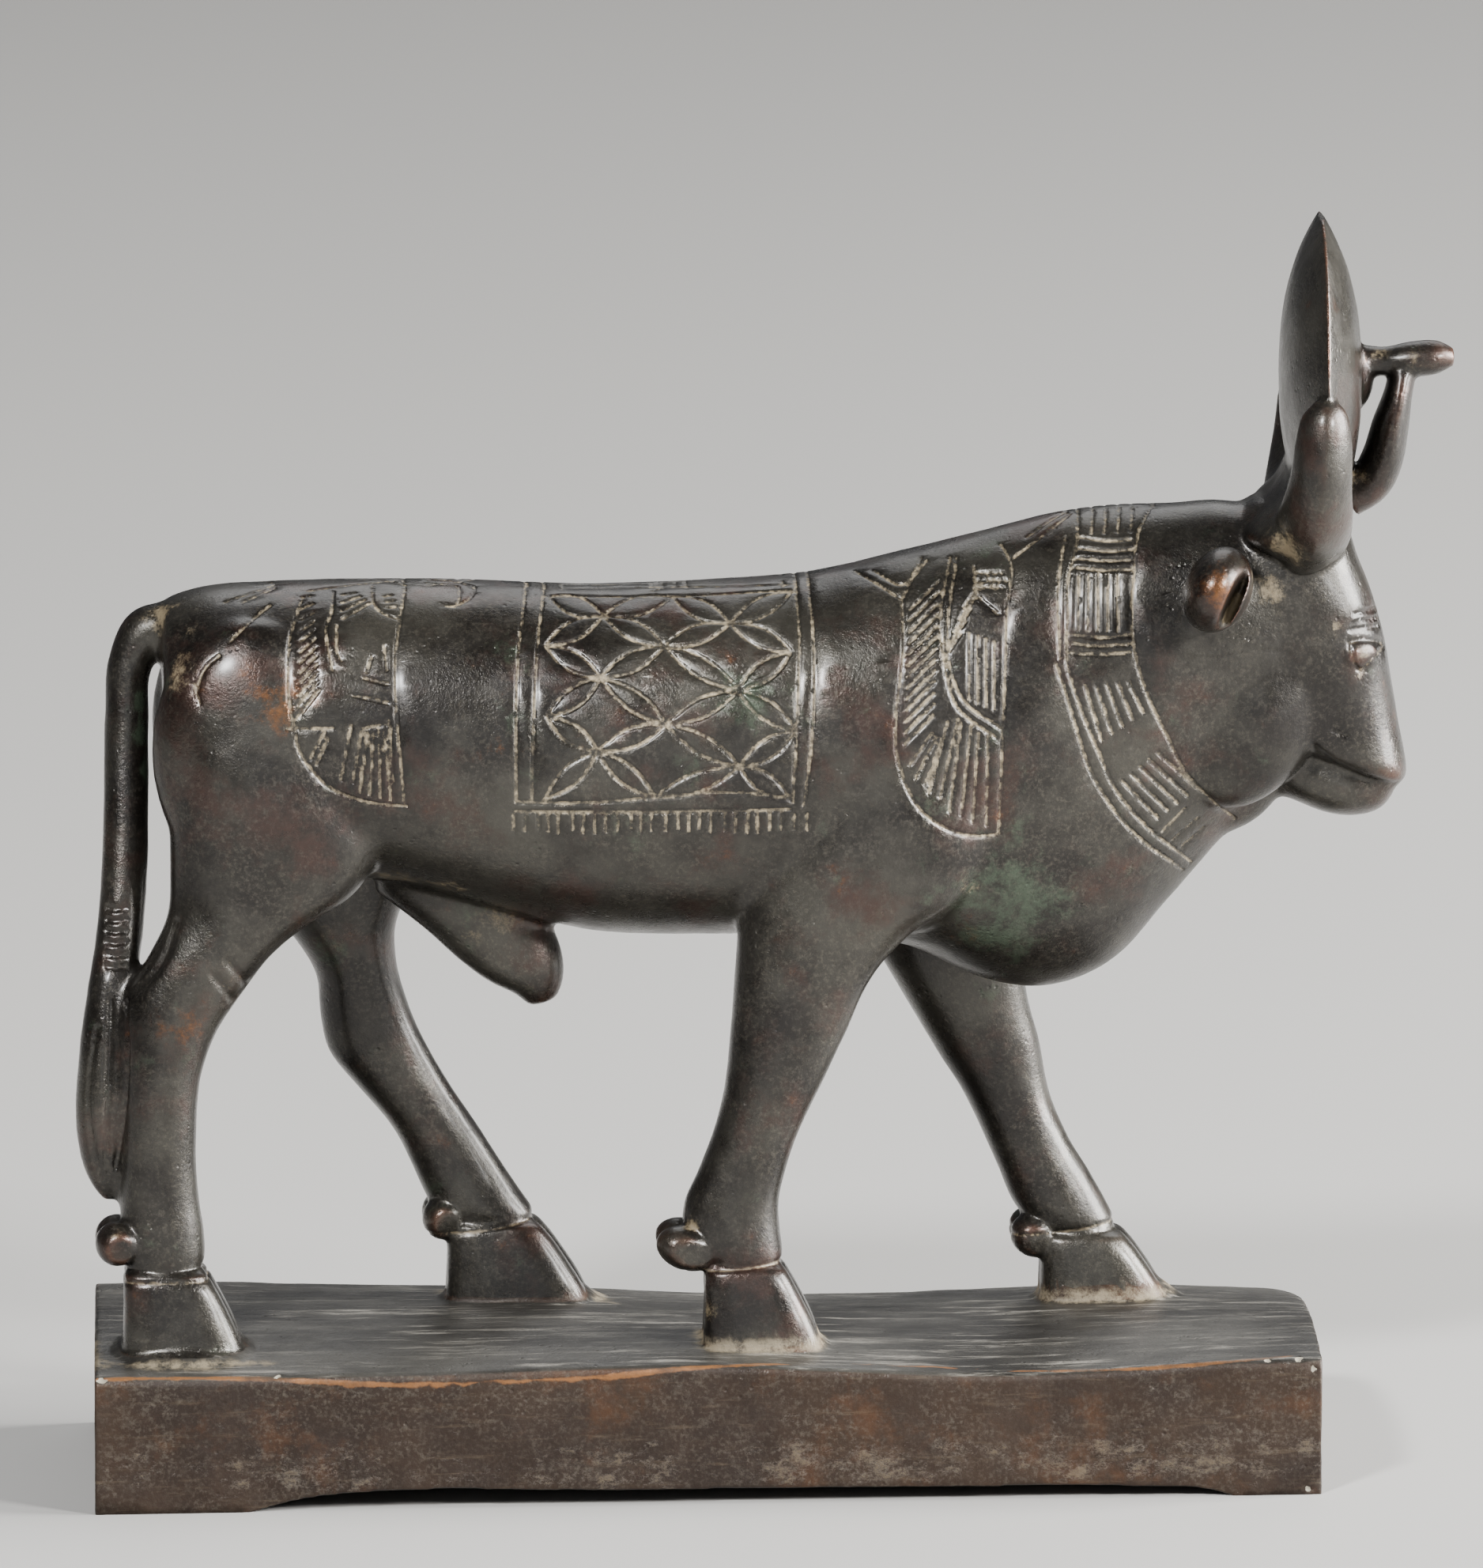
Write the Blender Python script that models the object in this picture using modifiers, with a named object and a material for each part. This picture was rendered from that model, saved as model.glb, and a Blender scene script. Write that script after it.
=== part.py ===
"""Apis bull figure: a small cast bronze bull walking on its plinth, with sun disc and uraeus.

Millimetres are used for every size here. The bull faces +X, +Z is up and its right side faces -Y.
Side view tables run through the plinth's centre, and the casting is moved to its final origin at
the end: the middle of its bounding box, at the underside.
"""

import math

import bmesh
import bpy
import numpy as np
from mathutils import Matrix, Vector

MM = 0.001

# Plinth
PLINTH_LENGTH = 117.6
PLINTH_DEPTH = 42.0
PLINTH_CROWN = 1.2
PLINTH_CORNER = 5.0
PLINTH_EDGE_ROUND = 0.8

# The figure was modelled level and then leans forward a little on its feet
LEAN_DEGREES = 0.65
SLOPE = 0.0047

# Sun disc
DISC_CENTRE = (59.25, 0.0, 106.2)
DISC_RADIUS = 15.9
DISC_HALF_THICKNESS = 3.9

# Legs, as distances from the middle plane
LEG_OFFSET = 11.0
DEWCLAW_SPREAD = 2.2
DEWCLAW_HALF_WIDTH = 1.6
DEWCLAW_HALF_HEIGHT = 2.0
DEWCLAW_TILT = 24

# Ears: the slit of the leaf leans forward, and the leaf is swept back a little
EAR_RISE = 6
EAR_OPEN = 24
EAR_SWEEP = 8

# Muzzle: the face's lower end slants down to the front, in height per length
MUZZLE_SLANT = 0.39
MUZZLE_PIVOT = 62.0
MUZZLE_SLANT_TOP = 80.0
MUZZLE_SLANT_BOTTOM = 70.0

# Mesh fineness
FLESH_VOXEL = 0.6
FLESH_SMOOTHING = 10
CAST_VOXEL = 0.45
CAST_SMOOTHING = 3
TRIANGLES = 9400


def start_clean():
    for item in list(bpy.data.objects):
        bpy.data.objects.remove(item, do_unlink=True)
    for group in list(bpy.data.collections):
        bpy.data.collections.remove(group)
    for mesh in list(bpy.data.meshes):
        bpy.data.meshes.remove(mesh)


def through(stations, steps):
    """Rows of numbers on a smooth curve through the given rows, steps of them to each stretch."""
    rows = np.array(stations, dtype=float)
    gaps = np.maximum(np.linalg.norm(np.diff(rows, axis=0), axis=1), 1e-6)
    slopes = np.diff(rows, axis=0) / gaps[:, None]
    tangents = np.empty_like(rows)
    tangents[0] = slopes[0]
    tangents[-1] = slopes[-1]
    before, after = gaps[:-1, None], gaps[1:, None]
    tangents[1:-1] = (slopes[:-1] * after + slopes[1:] * before) / (before + after)
    curve = []
    for i, gap in enumerate(gaps):
        for step in range(steps):
            t = step / steps
            curve.append(
                (2 * t**3 - 3 * t**2 + 1) * rows[i]
                + (t**3 - 2 * t**2 + t) * gap * tangents[i]
                + (3 * t**2 - 2 * t**3) * rows[i + 1]
                + (t**3 - t**2) * gap * tangents[i + 1]
            )
    curve.append(rows[-1])
    return curve


def round_point(angle, power):
    """A point of a superellipse of half size 1: power 2 is a circle, higher is squarer."""
    c, s = math.cos(angle), math.sin(angle)
    return (
        math.copysign(abs(c) ** (2 / power), c),
        math.copysign(abs(s) ** (2 / power), s),
    )


def skin(name, rings):
    """A closed object over rings of points, each ring joined to the next."""
    bm = bmesh.new()
    loops = [[bm.verts.new(Vector(p) * MM) for p in ring] for ring in rings]
    count = len(loops[0])
    for a, b in zip(loops, loops[1:]):
        for i in range(count):
            j = (i + 1) % count
            bm.faces.new((a[i], a[j], b[j], b[i]))
    bm.faces.new(list(reversed(loops[0])))
    bm.faces.new(loops[-1])
    bmesh.ops.recalc_face_normals(bm, faces=bm.faces[:])
    return placed(name, bm)


def placed(name, bm):
    mesh = bpy.data.meshes.new(name)
    bm.to_mesh(mesh)
    bm.free()
    item = bpy.data.objects.new(name, mesh)
    bpy.context.scene.collection.objects.link(item)
    return item


def trunk(name, stations, power=2.2, around=40, steps=6):
    """Upright sections along X. A station is x, top, widest height, bottom, half width and the
    power of the lower half, which is low where the section narrows to a keel."""
    rings = []
    for x, top, widest, bottom, half, keel in through(stations, steps):
        ring = []
        for i in range(around):
            angle = math.tau * i / around
            above = math.sin(angle) > 0
            across, up = round_point(angle, power if above else keel)
            reach = top - widest if above else widest - bottom
            ring.append((x, across * half, widest + up * reach))
        rings.append(ring)
    return skin(name, rings)


def limb(name, stations, power=2.2, around=28, steps=5):
    """Level sections along Z. A station is z, back x, front x, middle y, half width."""
    rings = []
    for z, back, front, y, half in through(stations, steps):
        ring = []
        for i in range(around):
            along, across = round_point(math.tau * i / around, power)
            ring.append(
                ((back + front) / 2 + along * (front - back) / 2, y + across * half, z)
            )
        rings.append(ring)
    return skin(name, rings)


def strand(name, stations, power=2.0, around=20, steps=6):
    """Sections square to a path. A station is x, y, z, half size in the side view, half size in y."""
    points = through(stations, steps)
    rings = []
    for i, point in enumerate(points):
        last = min(i + 1, len(points) - 1)
        heading = Vector(points[last][:3]) - Vector(points[max(i - 1, 0)][:3])
        side = heading.cross(Vector((0, 1, 0))).normalized()
        level = side.cross(heading).normalized()
        ring = []
        for j in range(around):
            a, b = round_point(math.tau * j / around, power)
            ring.append(Vector(point[:3]) + side * a * point[3] + level * b * point[4])
        rings.append(ring)
    return skin(name, rings)


def lump(name, centre, radii, turn=(0, 0, 0)):
    """An ellipsoid, turned by degrees about X, Y and Z."""
    bm = bmesh.new()
    bmesh.ops.create_uvsphere(bm, u_segments=28, v_segments=16, radius=1.0)
    matrix = Matrix.Translation(Vector(centre) * MM)
    for axis, degrees in zip("XYZ", turn):
        matrix = matrix @ Matrix.Rotation(math.radians(degrees), 4, axis)
    matrix = matrix @ Matrix.Diagonal((*[r * MM for r in radii], 1))
    bmesh.ops.transform(bm, matrix=matrix, verts=bm.verts[:])
    return placed(name, bm)


def both_sides(make, name, place, *rest):
    """The same form on the bull's right side and, mirrored, on its left."""
    made = []
    for side, sign in (("right", -1), ("left", 1)):
        x, y, z = place
        made.append(make(f"{name}_{side}", (x, sign * y, z), *rest))
    return made


def body():
    """Trunk, neck and brisket in one run of sections, with the haunches and shoulders on it."""
    parts = [
        trunk(
            "trunk",
            (
                (-52.0, 83.2, 80, 76, 4.5, 2.2),
                (-50.8, 84.7, 75, 64, 9.5, 2.2),
                (-47, 85.6, 73, 59, 12.4, 2.2),
                (-40, 86.0, 72, 57, 13.6, 2.2),
                (-31, 86.2, 71, 57.5, 13.9, 2.2),
                (-22, 86.1, 70, 55.2, 14.2, 2.2),
                (-11, 85.7, 69, 52.4, 14.7, 2.2),
                (0, 86.1, 69, 52.0, 14.8, 2.2),
                (10, 86.9, 69, 52.0, 14.4, 2.1),
                (20, 89.2, 70, 50.6, 13.9, 2.0),
                (27, 91.0, 71, 47.4, 13.0, 2.0),
                (33, 92.6, 73, 46.6, 12.0, 1.9),
                (39, 93.5, 76, 48.8, 11.0, 1.8),
                (45, 93.7, 79, 55.2, 10.3, 1.6),
                (50, 94.0, 81, 61.0, 9.6, 1.5),
                (55, 93.0, 82, 66.5, 8.6, 1.5),
            ),
        ),
        limb(
            "haunch_right",
            (
                (80, -49, -42, -6, 3.2),
                (76, -51.6, -36.5, -7.0, 5.6),
                (68, -51.4, -32.5, -8.0, 6.6),
                (62, -51.4, -31, -8.3, 6.0),
                (57.5, -51.4, -33.5, -8.7, 5.2),
                (54.5, -51.9, -38, -9.2, 4.6),
                (51.2, -53.6, -42.0, -9.8, 4.2),
                (48.2, -55.3, -44.2, -10.2, 3.9),
                (44, -56.0, -47.0, -10.6, 3.7),
                (40, -56.0, -48.4, -10.9, 3.6),
                (34, -56.0, -48.9, -11, 3.5),
                (28, -56.2, -48.7, -11, 3.5),
                (24, -56.4, -48.1, -11, 3.8),
                (21.4, -56.0, -48.4, -11, 3.7),
                (17, -55.0, -49.2, -11, 3.2),
            ),
        ),
        limb(
            "haunch_left",
            (
                (80, -49, -40, 6, 3.2),
                (76, -51.4, -34.5, 7.0, 5.6),
                (68, -51.2, -30.5, 8.0, 6.6),
                (60, -50.0, -27.5, 8.4, 6.0),
                (54, -43.6, -28.5, 9.0, 5.2),
                (50, -39.7, -29.6, 9.4, 4.5),
                (46, -37.3, -29.2, 9.8, 4.0),
                (42, -36.9, -28.0, 10.2, 3.8),
                (38.5, -36.2, -26.4, 10.5, 3.7),
                (35, -33.6, -24.4, 10.8, 3.6),
                (31, -30.2, -21.8, 11, 3.5),
                (27, -28.1, -19.3, 11, 3.5),
                (24, -26.8, -17.3, 11, 3.8),
                (21.6, -25.2, -16.1, 11, 3.7),
                (17, -22.6, -15.2, 11, 3.2),
            ),
        ),
        limb(
            "shoulder_right",
            (
                (76, 10, 24, -6.5, 5.5),
                (70, 5.5, 29, -7.6, 6.4),
                (63, 3.9, 29, -8.3, 6.3),
                (57, 3.4, 24.6, -9.0, 5.6),
                (53.5, 3.0, 19.6, -9.5, 5.0),
                (49.5, 2.7, 16.0, -9.9, 4.6),
                (44.4, 2.3, 13.6, -10.4, 4.2),
                (39.5, 1.8, 11.3, -10.8, 3.9),
                (35, 0.8, 9.1, -11, 3.7),
                (30.5, -0.9, 7.6, -11, 3.6),
                (27.5, -2.2, 7.0, -11, 3.7),
                (24.5, -2.2, 7.2, -11, 3.9),
                (21.8, -0.2, 7.2, -11, 3.7),
                (17, 1.4, 6.8, -11, 3.2),
            ),
        ),
        limb(
            "shoulder_left",
            (
                (76, 12, 28, 6.5, 5.5),
                (68, 9, 31, 7.8, 6.4),
                (60, 11, 32, 8.6, 5.9),
                (54, 14.0, 31.6, 9.2, 5.2),
                (48, 17.2, 31.2, 9.8, 4.6),
                (43.5, 19.8, 31.8, 10.2, 4.3),
                (38.5, 22.7, 33.1, 10.7, 4.0),
                (34, 25.5, 33.9, 11, 3.8),
                (29.5, 27.6, 35.8, 11, 3.6),
                (26, 29.1, 37.9, 11, 3.7),
                (23, 30.4, 39.6, 11, 3.9),
                (20.6, 32.6, 40.2, 11, 3.7),
                (16, 34.8, 40.8, 11, 3.2),
            ),
        ),
        strand(
            "sheath",
            (
                (-29, 0, 60.4, 5.2, 3.6),
                (-24.0, 0, 56.8, 5.4, 3.6),
                (-19.4, 0, 51.8, 4.8, 3.3),
                (-16.2, 0, 47.6, 3.2, 2.8),
                (-15.4, 0, 45.0, 1.5, 1.6),
            ),
        ),
    ]
    parts += both_sides(
        lump, "haunch_muscle", (-42.5, 8.2, 70), (10.5, 5.6, 14), (0, -8, 0)
    )
    parts += both_sides(
        lump, "shoulder_muscle", (20, 8.0, 69), (11, 5.8, 16), (0, 12, 0)
    )
    return parts


def head():
    """Long face hanging almost straight down from the poll, with cheeks and a blunt muzzle."""
    parts = [
        limb(
            "face",
            (
                (94.5, 53, 58.5, 0, 4.6),
                (92, 50, 61.8, 0, 6.6),
                (88.5, 48, 63.0, 0, 7.9),
                (85, 47, 64.4, 0, 8.4),
                (81, 47, 65.5, 0, 8.3),
                (77, 47.5, 66.3, 0, 7.8),
                (73.5, 50, 67.0, 0, 7.3),
                (71.2, 53.6, 67.6, 0, 7.0),
                (69.6, 56.6, 67.7, 0, 6.8),
                (68.8, 57.2, 67.3, 0, 6.0),
            ),
            power=2.8,
        ),
        strand(
            "throat",
            (
                (44, 0, 68, 8.4, 4.5),
                (50, 0, 67.6, 6.0, 3.6),
                (55.2, 0, 69.4, 4.0, 3.2),
                (58.6, 0, 68.0, 3.6, 4.2),
                (61.2, 0, 66.8, 3.4, 4.8),
                (63.8, 0, 66.4, 2.9, 4.6),
                (65.6, 0, 66.8, 2.0, 3.8),
                (66.4, 0, 67.0, 1.0, 2.4),
            ),
        ),
    ]
    slant_muzzle(parts[0])
    parts += both_sides(lump, "cheek", (52.6, 4.7, 73.6), (6.4, 4.4, 9.4), (0, 28, 0))
    parts += both_sides(lump, "brow", (60.6, 5.0, 83.8), (3.2, 2.8, 2.4))
    parts += both_sides(lump, "eye", (63.1, 6.8, 80.2), (2.0, 1.1, 1.4), (0, 0, 40))
    return parts


def slant_muzzle(face):
    """Tilts the lower end of the face, so that its underside runs down to the front."""
    for vert in face.data.vertices:
        share = (MUZZLE_SLANT_TOP - vert.co.z / MM) / (MUZZLE_SLANT_TOP - MUZZLE_SLANT_BOTTOM)
        vert.co.z -= MUZZLE_SLANT * max(0.0, min(1.0, share)) * (vert.co.x - MUZZLE_PIVOT * MM)


def tail():
    return [
        strand(
            "tail",
            (
                (-50.3, 0, 81.6, 2.2, 2.8),
                (-53.2, 0, 81.4, 2.5, 2.8),
                (-55.0, -0.3, 78.5, 2.2, 2.5),
                (-55.4, -1.2, 73, 2.2, 2.4),
                (-55.5, -2.8, 66, 2.25, 2.4),
                (-55.7, -4.6, 59, 2.3, 2.4),
                (-56.2, -6.4, 53, 2.3, 2.4),
                (-57.1, -8.0, 47, 2.4, 2.5),
                (-57.6, -9.0, 40, 2.8, 2.8),
                (-57.9, -9.6, 34, 2.6, 2.6),
                (-57.7, -9.8, 30, 1.8, 1.8),
                (-57.3, -9.8, 27.4, 0.6, 0.7),
            ),
        )
    ]


def hoof(name, top, back, front, y, toe):
    """A cloven hoof that flares from the coronet into the plinth: back and front at the coronet,
    and how far the toe runs forward."""
    parts = []
    for side in (-1, 1):
        parts.append(
            limb(
                f"{name}_{side:+d}",
                (
                    (top, back + 0.5, front - 0.4, y + side * 1.5, 2.0),
                    (top - 0.3, back + 0.1, front + 0.1, y + side * 1.6, 2.4),
                    (top - 1.2, back, front + toe * 0.2, y + side * 1.7, 2.6),
                    (top - 3.4, back, front + toe * 0.55, y + side * 1.8, 2.8),
                    (top - 6.4, back - 0.1, front + toe * 0.95, y + side * 1.9, 3.1),
                    (12.4, back - 0.2, front + toe * 1.2, y + side * 1.9, 3.2),
                ),
                power=3.2,
            )
        )
    parts.append(
        limb(
            f"{name}_sole",
            (
                (15.2, back + 0.6, front + toe * 0.9, y, 4.0),
                (14.4, back + 0.1, front + toe * 1.1, y, 4.9),
                (13.7, back - 0.7, front + toe * 1.35, y, 5.6),
                (12.8, back - 2.0, front + toe * 1.9, y, 6.8),
            ),
            power=2.4,
        )
    )
    return parts


def feet():
    """Hooves and the paired dewclaws behind each fetlock."""
    near, far = -LEG_OFFSET, LEG_OFFSET
    parts = hoof("hoof_near_hind", 21.3, -56.0, -48.2, near, 3.4)
    parts += hoof("hoof_near_fore", 21.7, -0.2, 7.4, near, 3.4)
    parts += hoof("hoof_far_hind", 21.5, -24.6, -15.8, far, 4.6)
    parts += hoof("hoof_far_fore", 20.4, 33.0, 41.0, far, 4.6)
    claws = (
        ("near_hind", -56.6, near, 23.9, 2.1),
        ("near_fore", -1.9, near, 23.4, 3.1),
        ("far_hind", -25.0, far, 21.9, 2.0),
        ("far_fore", 32.3, far, 20.1, 2.3),
    )
    for name, x, y, z, reach in claws:
        for side in (-DEWCLAW_SPREAD, DEWCLAW_SPREAD):
            parts.append(
                lump(
                    f"dewclaw_{name}_{side:+.0f}",
                    (x, y + side, z),
                    (reach, DEWCLAW_HALF_WIDTH, DEWCLAW_HALF_HEIGHT),
                    (0, DEWCLAW_TILT, 0),
                )
            )
    return parts


def disc():
    """A lens turned about X, with a sharp rim."""
    bm = bmesh.new()
    profile = []
    count = 14
    for i in range(-count, count + 1):
        reach = math.cos(math.pi / 2 * i / count)
        bulge = DISC_HALF_THICKNESS * (1 - reach**2.6)
        x = math.copysign(bulge, i)
        profile.append(bm.verts.new(Vector((x, 0, reach * DISC_RADIUS)) * MM))
    edges = [bm.edges.new(pair) for pair in zip(profile, profile[1:])]
    bmesh.ops.spin(
        bm,
        geom=profile + edges,
        cent=(0, 0, 0),
        axis=(1, 0, 0),
        angle=math.tau,
        steps=64,
    )
    bmesh.ops.remove_doubles(bm, verts=bm.verts[:], dist=0.01 * MM)
    bmesh.ops.recalc_face_normals(bm, faces=bm.faces[:])
    bmesh.ops.translate(bm, vec=Vector(DISC_CENTRE) * MM, verts=bm.verts[:])
    return placed("sun_disc", bm)


def horn(name, sign):
    """A thick horn that grows out sideways from the brow and rises against the disc's edge."""
    return strand(
        name,
        (
            (57.6, sign * 4.0, 91.4, 4.0, 4.2),
            (58.0, sign * 8.0, 92.6, 3.9, 4.3),
            (58.3, sign * 12.0, 95.0, 3.5, 4.0),
            (58.6, sign * 14.3, 98.6, 3.0, 3.3),
            (58.8, sign * 15.1, 102.4, 2.7, 2.6),
            (58.9, sign * 15.1, 105.0, 2.1, 1.9),
            (58.8, sign * 15.0, 106.3, 0.9, 0.8),
        ),
        power=1.6,
    )


def crown():
    """Horns, disc, the web between them and the neck, and the rearing cobra in front."""
    parts = [disc(), horn("horn_right", -1), horn("horn_left", 1)]
    parts.append(
        limb(
            "web",
            (
                (104.5, 57.2, 62.4, 0, 10.0),
                (101.5, 56.6, 62.2, 0, 12.8),
                (98, 56.1, 62.0, 0, 13.2),
                (95.6, 54.9, 61.8, 0, 13.0),
                (93.6, 52.8, 61.6, 0, 12.6),
                (91.6, 51.0, 61.4, 0, 11.6),
                (89.6, 53.6, 60.8, 0, 9.4),
                (88.4, 55.0, 60.0, 0, 7.0),
            ),
        )
    )
    parts.append(
        strand(
            "cobra",
            (
                (61.8, 0, 94.4, 2.0, 2.4),
                (64.1, 0, 95.9, 1.9, 2.9),
                (65.5, 0, 98.3, 1.6, 3.3),
                (66.3, 0, 101.3, 1.35, 3.4),
                (66.9, 0, 104.2, 1.15, 3.0),
                (67.2, 0, 106.8, 1.3, 2.1),
            ),
        )
    )
    parts.append(
        strand(
            "cobra_head",
            (
                (63.0, 0, 107.6, 1.6, 1.8),
                (65.6, 0, 107.6, 1.4, 1.6),
                (68.1, 0, 107.8, 1.7, 2.1),
                (70.5, 0, 108.0, 1.6, 1.9),
                (72.1, 0, 108.0, 0.8, 1.0),
            ),
        )
    )
    parts.append(lump("disc_boss", (61.6, 0, 106.0), (2.8, 3.4, 3.6)))
    return parts


def ear(name, sign):
    """A bud standing out sideways, slit open along its front and lower side."""
    turn = (sign * EAR_RISE, EAR_OPEN, sign * EAR_SWEEP)
    leaf = lump(name, (48.9, sign * 12.4, 87.5), (3.2, 6.0, 4.3), turn)
    hollow = lump(f"{name}_hollow", (50.0, sign * 16.4, 87.0), (1.2, 5.2, 3.9), turn)
    cut = leaf.modifiers.new("Hollow", "BOOLEAN")
    cut.operation = "DIFFERENCE"
    cut.object = hollow
    bpy.context.view_layer.update()
    graph = bpy.context.evaluated_depsgraph_get()
    mesh = bpy.data.meshes.new_from_object(leaf.evaluated_get(graph))
    leaf.modifiers.clear()
    leaf.data = mesh
    bpy.data.objects.remove(hollow, do_unlink=True)
    return leaf


def plinth():
    """A slab with uneven edges, a crowned top, an arched underside and one rounded corner."""
    half_length = PLINTH_LENGTH / 2
    half_depth = PLINTH_DEPTH / 2
    level = math.tan(math.radians(LEAN_DEGREES)) + SLOPE
    rings = []
    for x, bottom, front_edge, back_edge in through(
        (
            (-half_length, -1.2, 12.3, 13.0),
            (-47, -0.9, 12.4, 13.2),
            (-40, 1.0, 12.6, 13.0),
            (-28, 1.9, 12.8, 12.8),
            (-14, 1.6, 13.3, 12.6),
            (0, 1.5, 13.6, 12.0),
            (14, 1.4, 13.1, 11.9),
            (28, 1.3, 12.7, 12.4),
            (40, 1.1, 13.2, 12.9),
            (48, 0.6, 13.8, 12.7),
            (53, -0.9, 14.0, 12.5),
            (half_length, -1.2, 14.2, 12.4),
        ),
        8,
    ):
        into_corner = max(0.0, x - (half_length - PLINTH_CORNER)) / PLINTH_CORNER
        back = half_depth - PLINTH_CORNER * (1 - math.sqrt(1 - into_corner**2))
        section = slab_section(
            -half_depth, back, bottom + level * x, front_edge, back_edge
        )
        rings.append([(x, y, z) for y, z in section])
    return skin("plinth", rings)


def slab_section(front, back, bottom, front_edge, back_edge, cuts=16, corner=5):
    """Points around one upright section of the plinth."""
    radius = PLINTH_EDGE_ROUND

    def top(y):
        share = (y - front) / (back - front)
        edge = front_edge * (1 - share) + back_edge * share
        return edge + PLINTH_CROWN * 4 * share * (1 - share)

    points = [(front, bottom), (back, bottom)]
    for i in range(corner + 1):
        angle = math.pi / 2 * i / corner
        y = back - radius + radius * math.cos(angle)
        points.append((y, top(y) - radius + radius * math.sin(angle)))
    for i in range(1, cuts):
        y = back - radius - (back - front - 2 * radius) * i / cuts
        points.append((y, top(y)))
    for i in range(corner + 1):
        angle = math.pi / 2 * i / corner
        y = front + radius - radius * math.sin(angle)
        points.append((y, top(y) - radius + radius * math.cos(angle)))
    return points


def fused(name, parts, voxel, smoothing, triangles=None):
    """One closed skin over overlapping forms, softened where they meet."""
    bm = bmesh.new()
    for item in parts:
        bm.from_mesh(item.data)
        bpy.data.objects.remove(item, do_unlink=True)
    raw = placed(f"{name}_raw", bm)
    remesh = raw.modifiers.new("Fuse", "REMESH")
    remesh.mode = "VOXEL"
    remesh.voxel_size = voxel * MM
    smooth = raw.modifiers.new("Soften", "SMOOTH")
    smooth.factor = 0.5
    smooth.iterations = smoothing
    if triangles:
        bpy.context.view_layer.update()
        graph = bpy.context.evaluated_depsgraph_get()
        quads = len(raw.evaluated_get(graph).data.polygons)
        thin = raw.modifiers.new("Thin", "DECIMATE")
        thin.ratio = triangles / (2 * quads)
    bpy.context.view_layer.update()
    graph = bpy.context.evaluated_depsgraph_get()
    mesh = bpy.data.meshes.new_from_object(raw.evaluated_get(graph))
    bpy.data.objects.remove(raw, do_unlink=True)
    item = bpy.data.objects.new(name, mesh)
    bpy.context.scene.collection.objects.link(item)
    return item


def cut_flat(item):
    """Leans the casting, trims the plinth's feet at z = 0 and moves it to its origin."""
    bm = bmesh.new()
    bm.from_mesh(item.data)
    lean = Matrix.Rotation(math.radians(LEAN_DEGREES), 4, "Y")
    lean[2][0] -= SLOPE
    bmesh.ops.transform(bm, matrix=lean, verts=bm.verts[:])
    bmesh.ops.bisect_plane(
        bm,
        geom=bm.verts[:] + bm.edges[:] + bm.faces[:],
        plane_co=(0, 0, 0),
        plane_no=(0, 0, -1),
        clear_outer=True,
    )
    rim = [edge for edge in bm.edges if edge.is_boundary]
    bmesh.ops.holes_fill(bm, edges=rim)
    bmesh.ops.remove_doubles(bm, verts=bm.verts[:], dist=0.05 * MM)
    bmesh.ops.triangulate(bm, faces=bm.faces[:])
    bmesh.ops.recalc_face_normals(bm, faces=bm.faces[:])
    xs = [v.co.x for v in bm.verts]
    ys = [v.co.y for v in bm.verts]
    middle = Vector(((min(xs) + max(xs)) / 2, (min(ys) + max(ys)) / 2, 0))
    bmesh.ops.translate(bm, vec=-middle, verts=bm.verts[:])
    bm.to_mesh(item.data)
    bm.free()


def bronze():
    material = bpy.data.materials.new("bronze")
    material.use_nodes = True
    shader = material.node_tree.nodes["Principled BSDF"]
    shader.inputs["Base Color"].default_value = (0.05, 0.045, 0.04, 1)
    shader.inputs["Roughness"].default_value = 0.42
    shader.inputs["Metallic"].default_value = 0.7
    return material


def build():
    start_clean()
    flesh = fused("flesh", body() + head() + tail(), FLESH_VOXEL, FLESH_SMOOTHING)
    parts = [flesh, plinth(), ear("ear_right", -1), ear("ear_left", 1)]
    parts += feet() + crown()
    bull = fused("apis_bull", parts, CAST_VOXEL, CAST_SMOOTHING, TRIANGLES)
    cut_flat(bull)
    bull.data.materials.clear()
    bull.data.materials.append(bronze())
    group = bpy.data.collections.new("apis bull figure")
    bpy.context.scene.collection.children.link(group)
    bpy.context.scene.collection.objects.unlink(bull)
    group.objects.link(bull)


build()
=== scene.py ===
import math
import random

import bmesh
import bpy
import numpy as np
from mathutils import Matrix, Vector, noise
from mathutils.bvhtree import BVHTree
from mathutils.kdtree import KDTree


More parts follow.
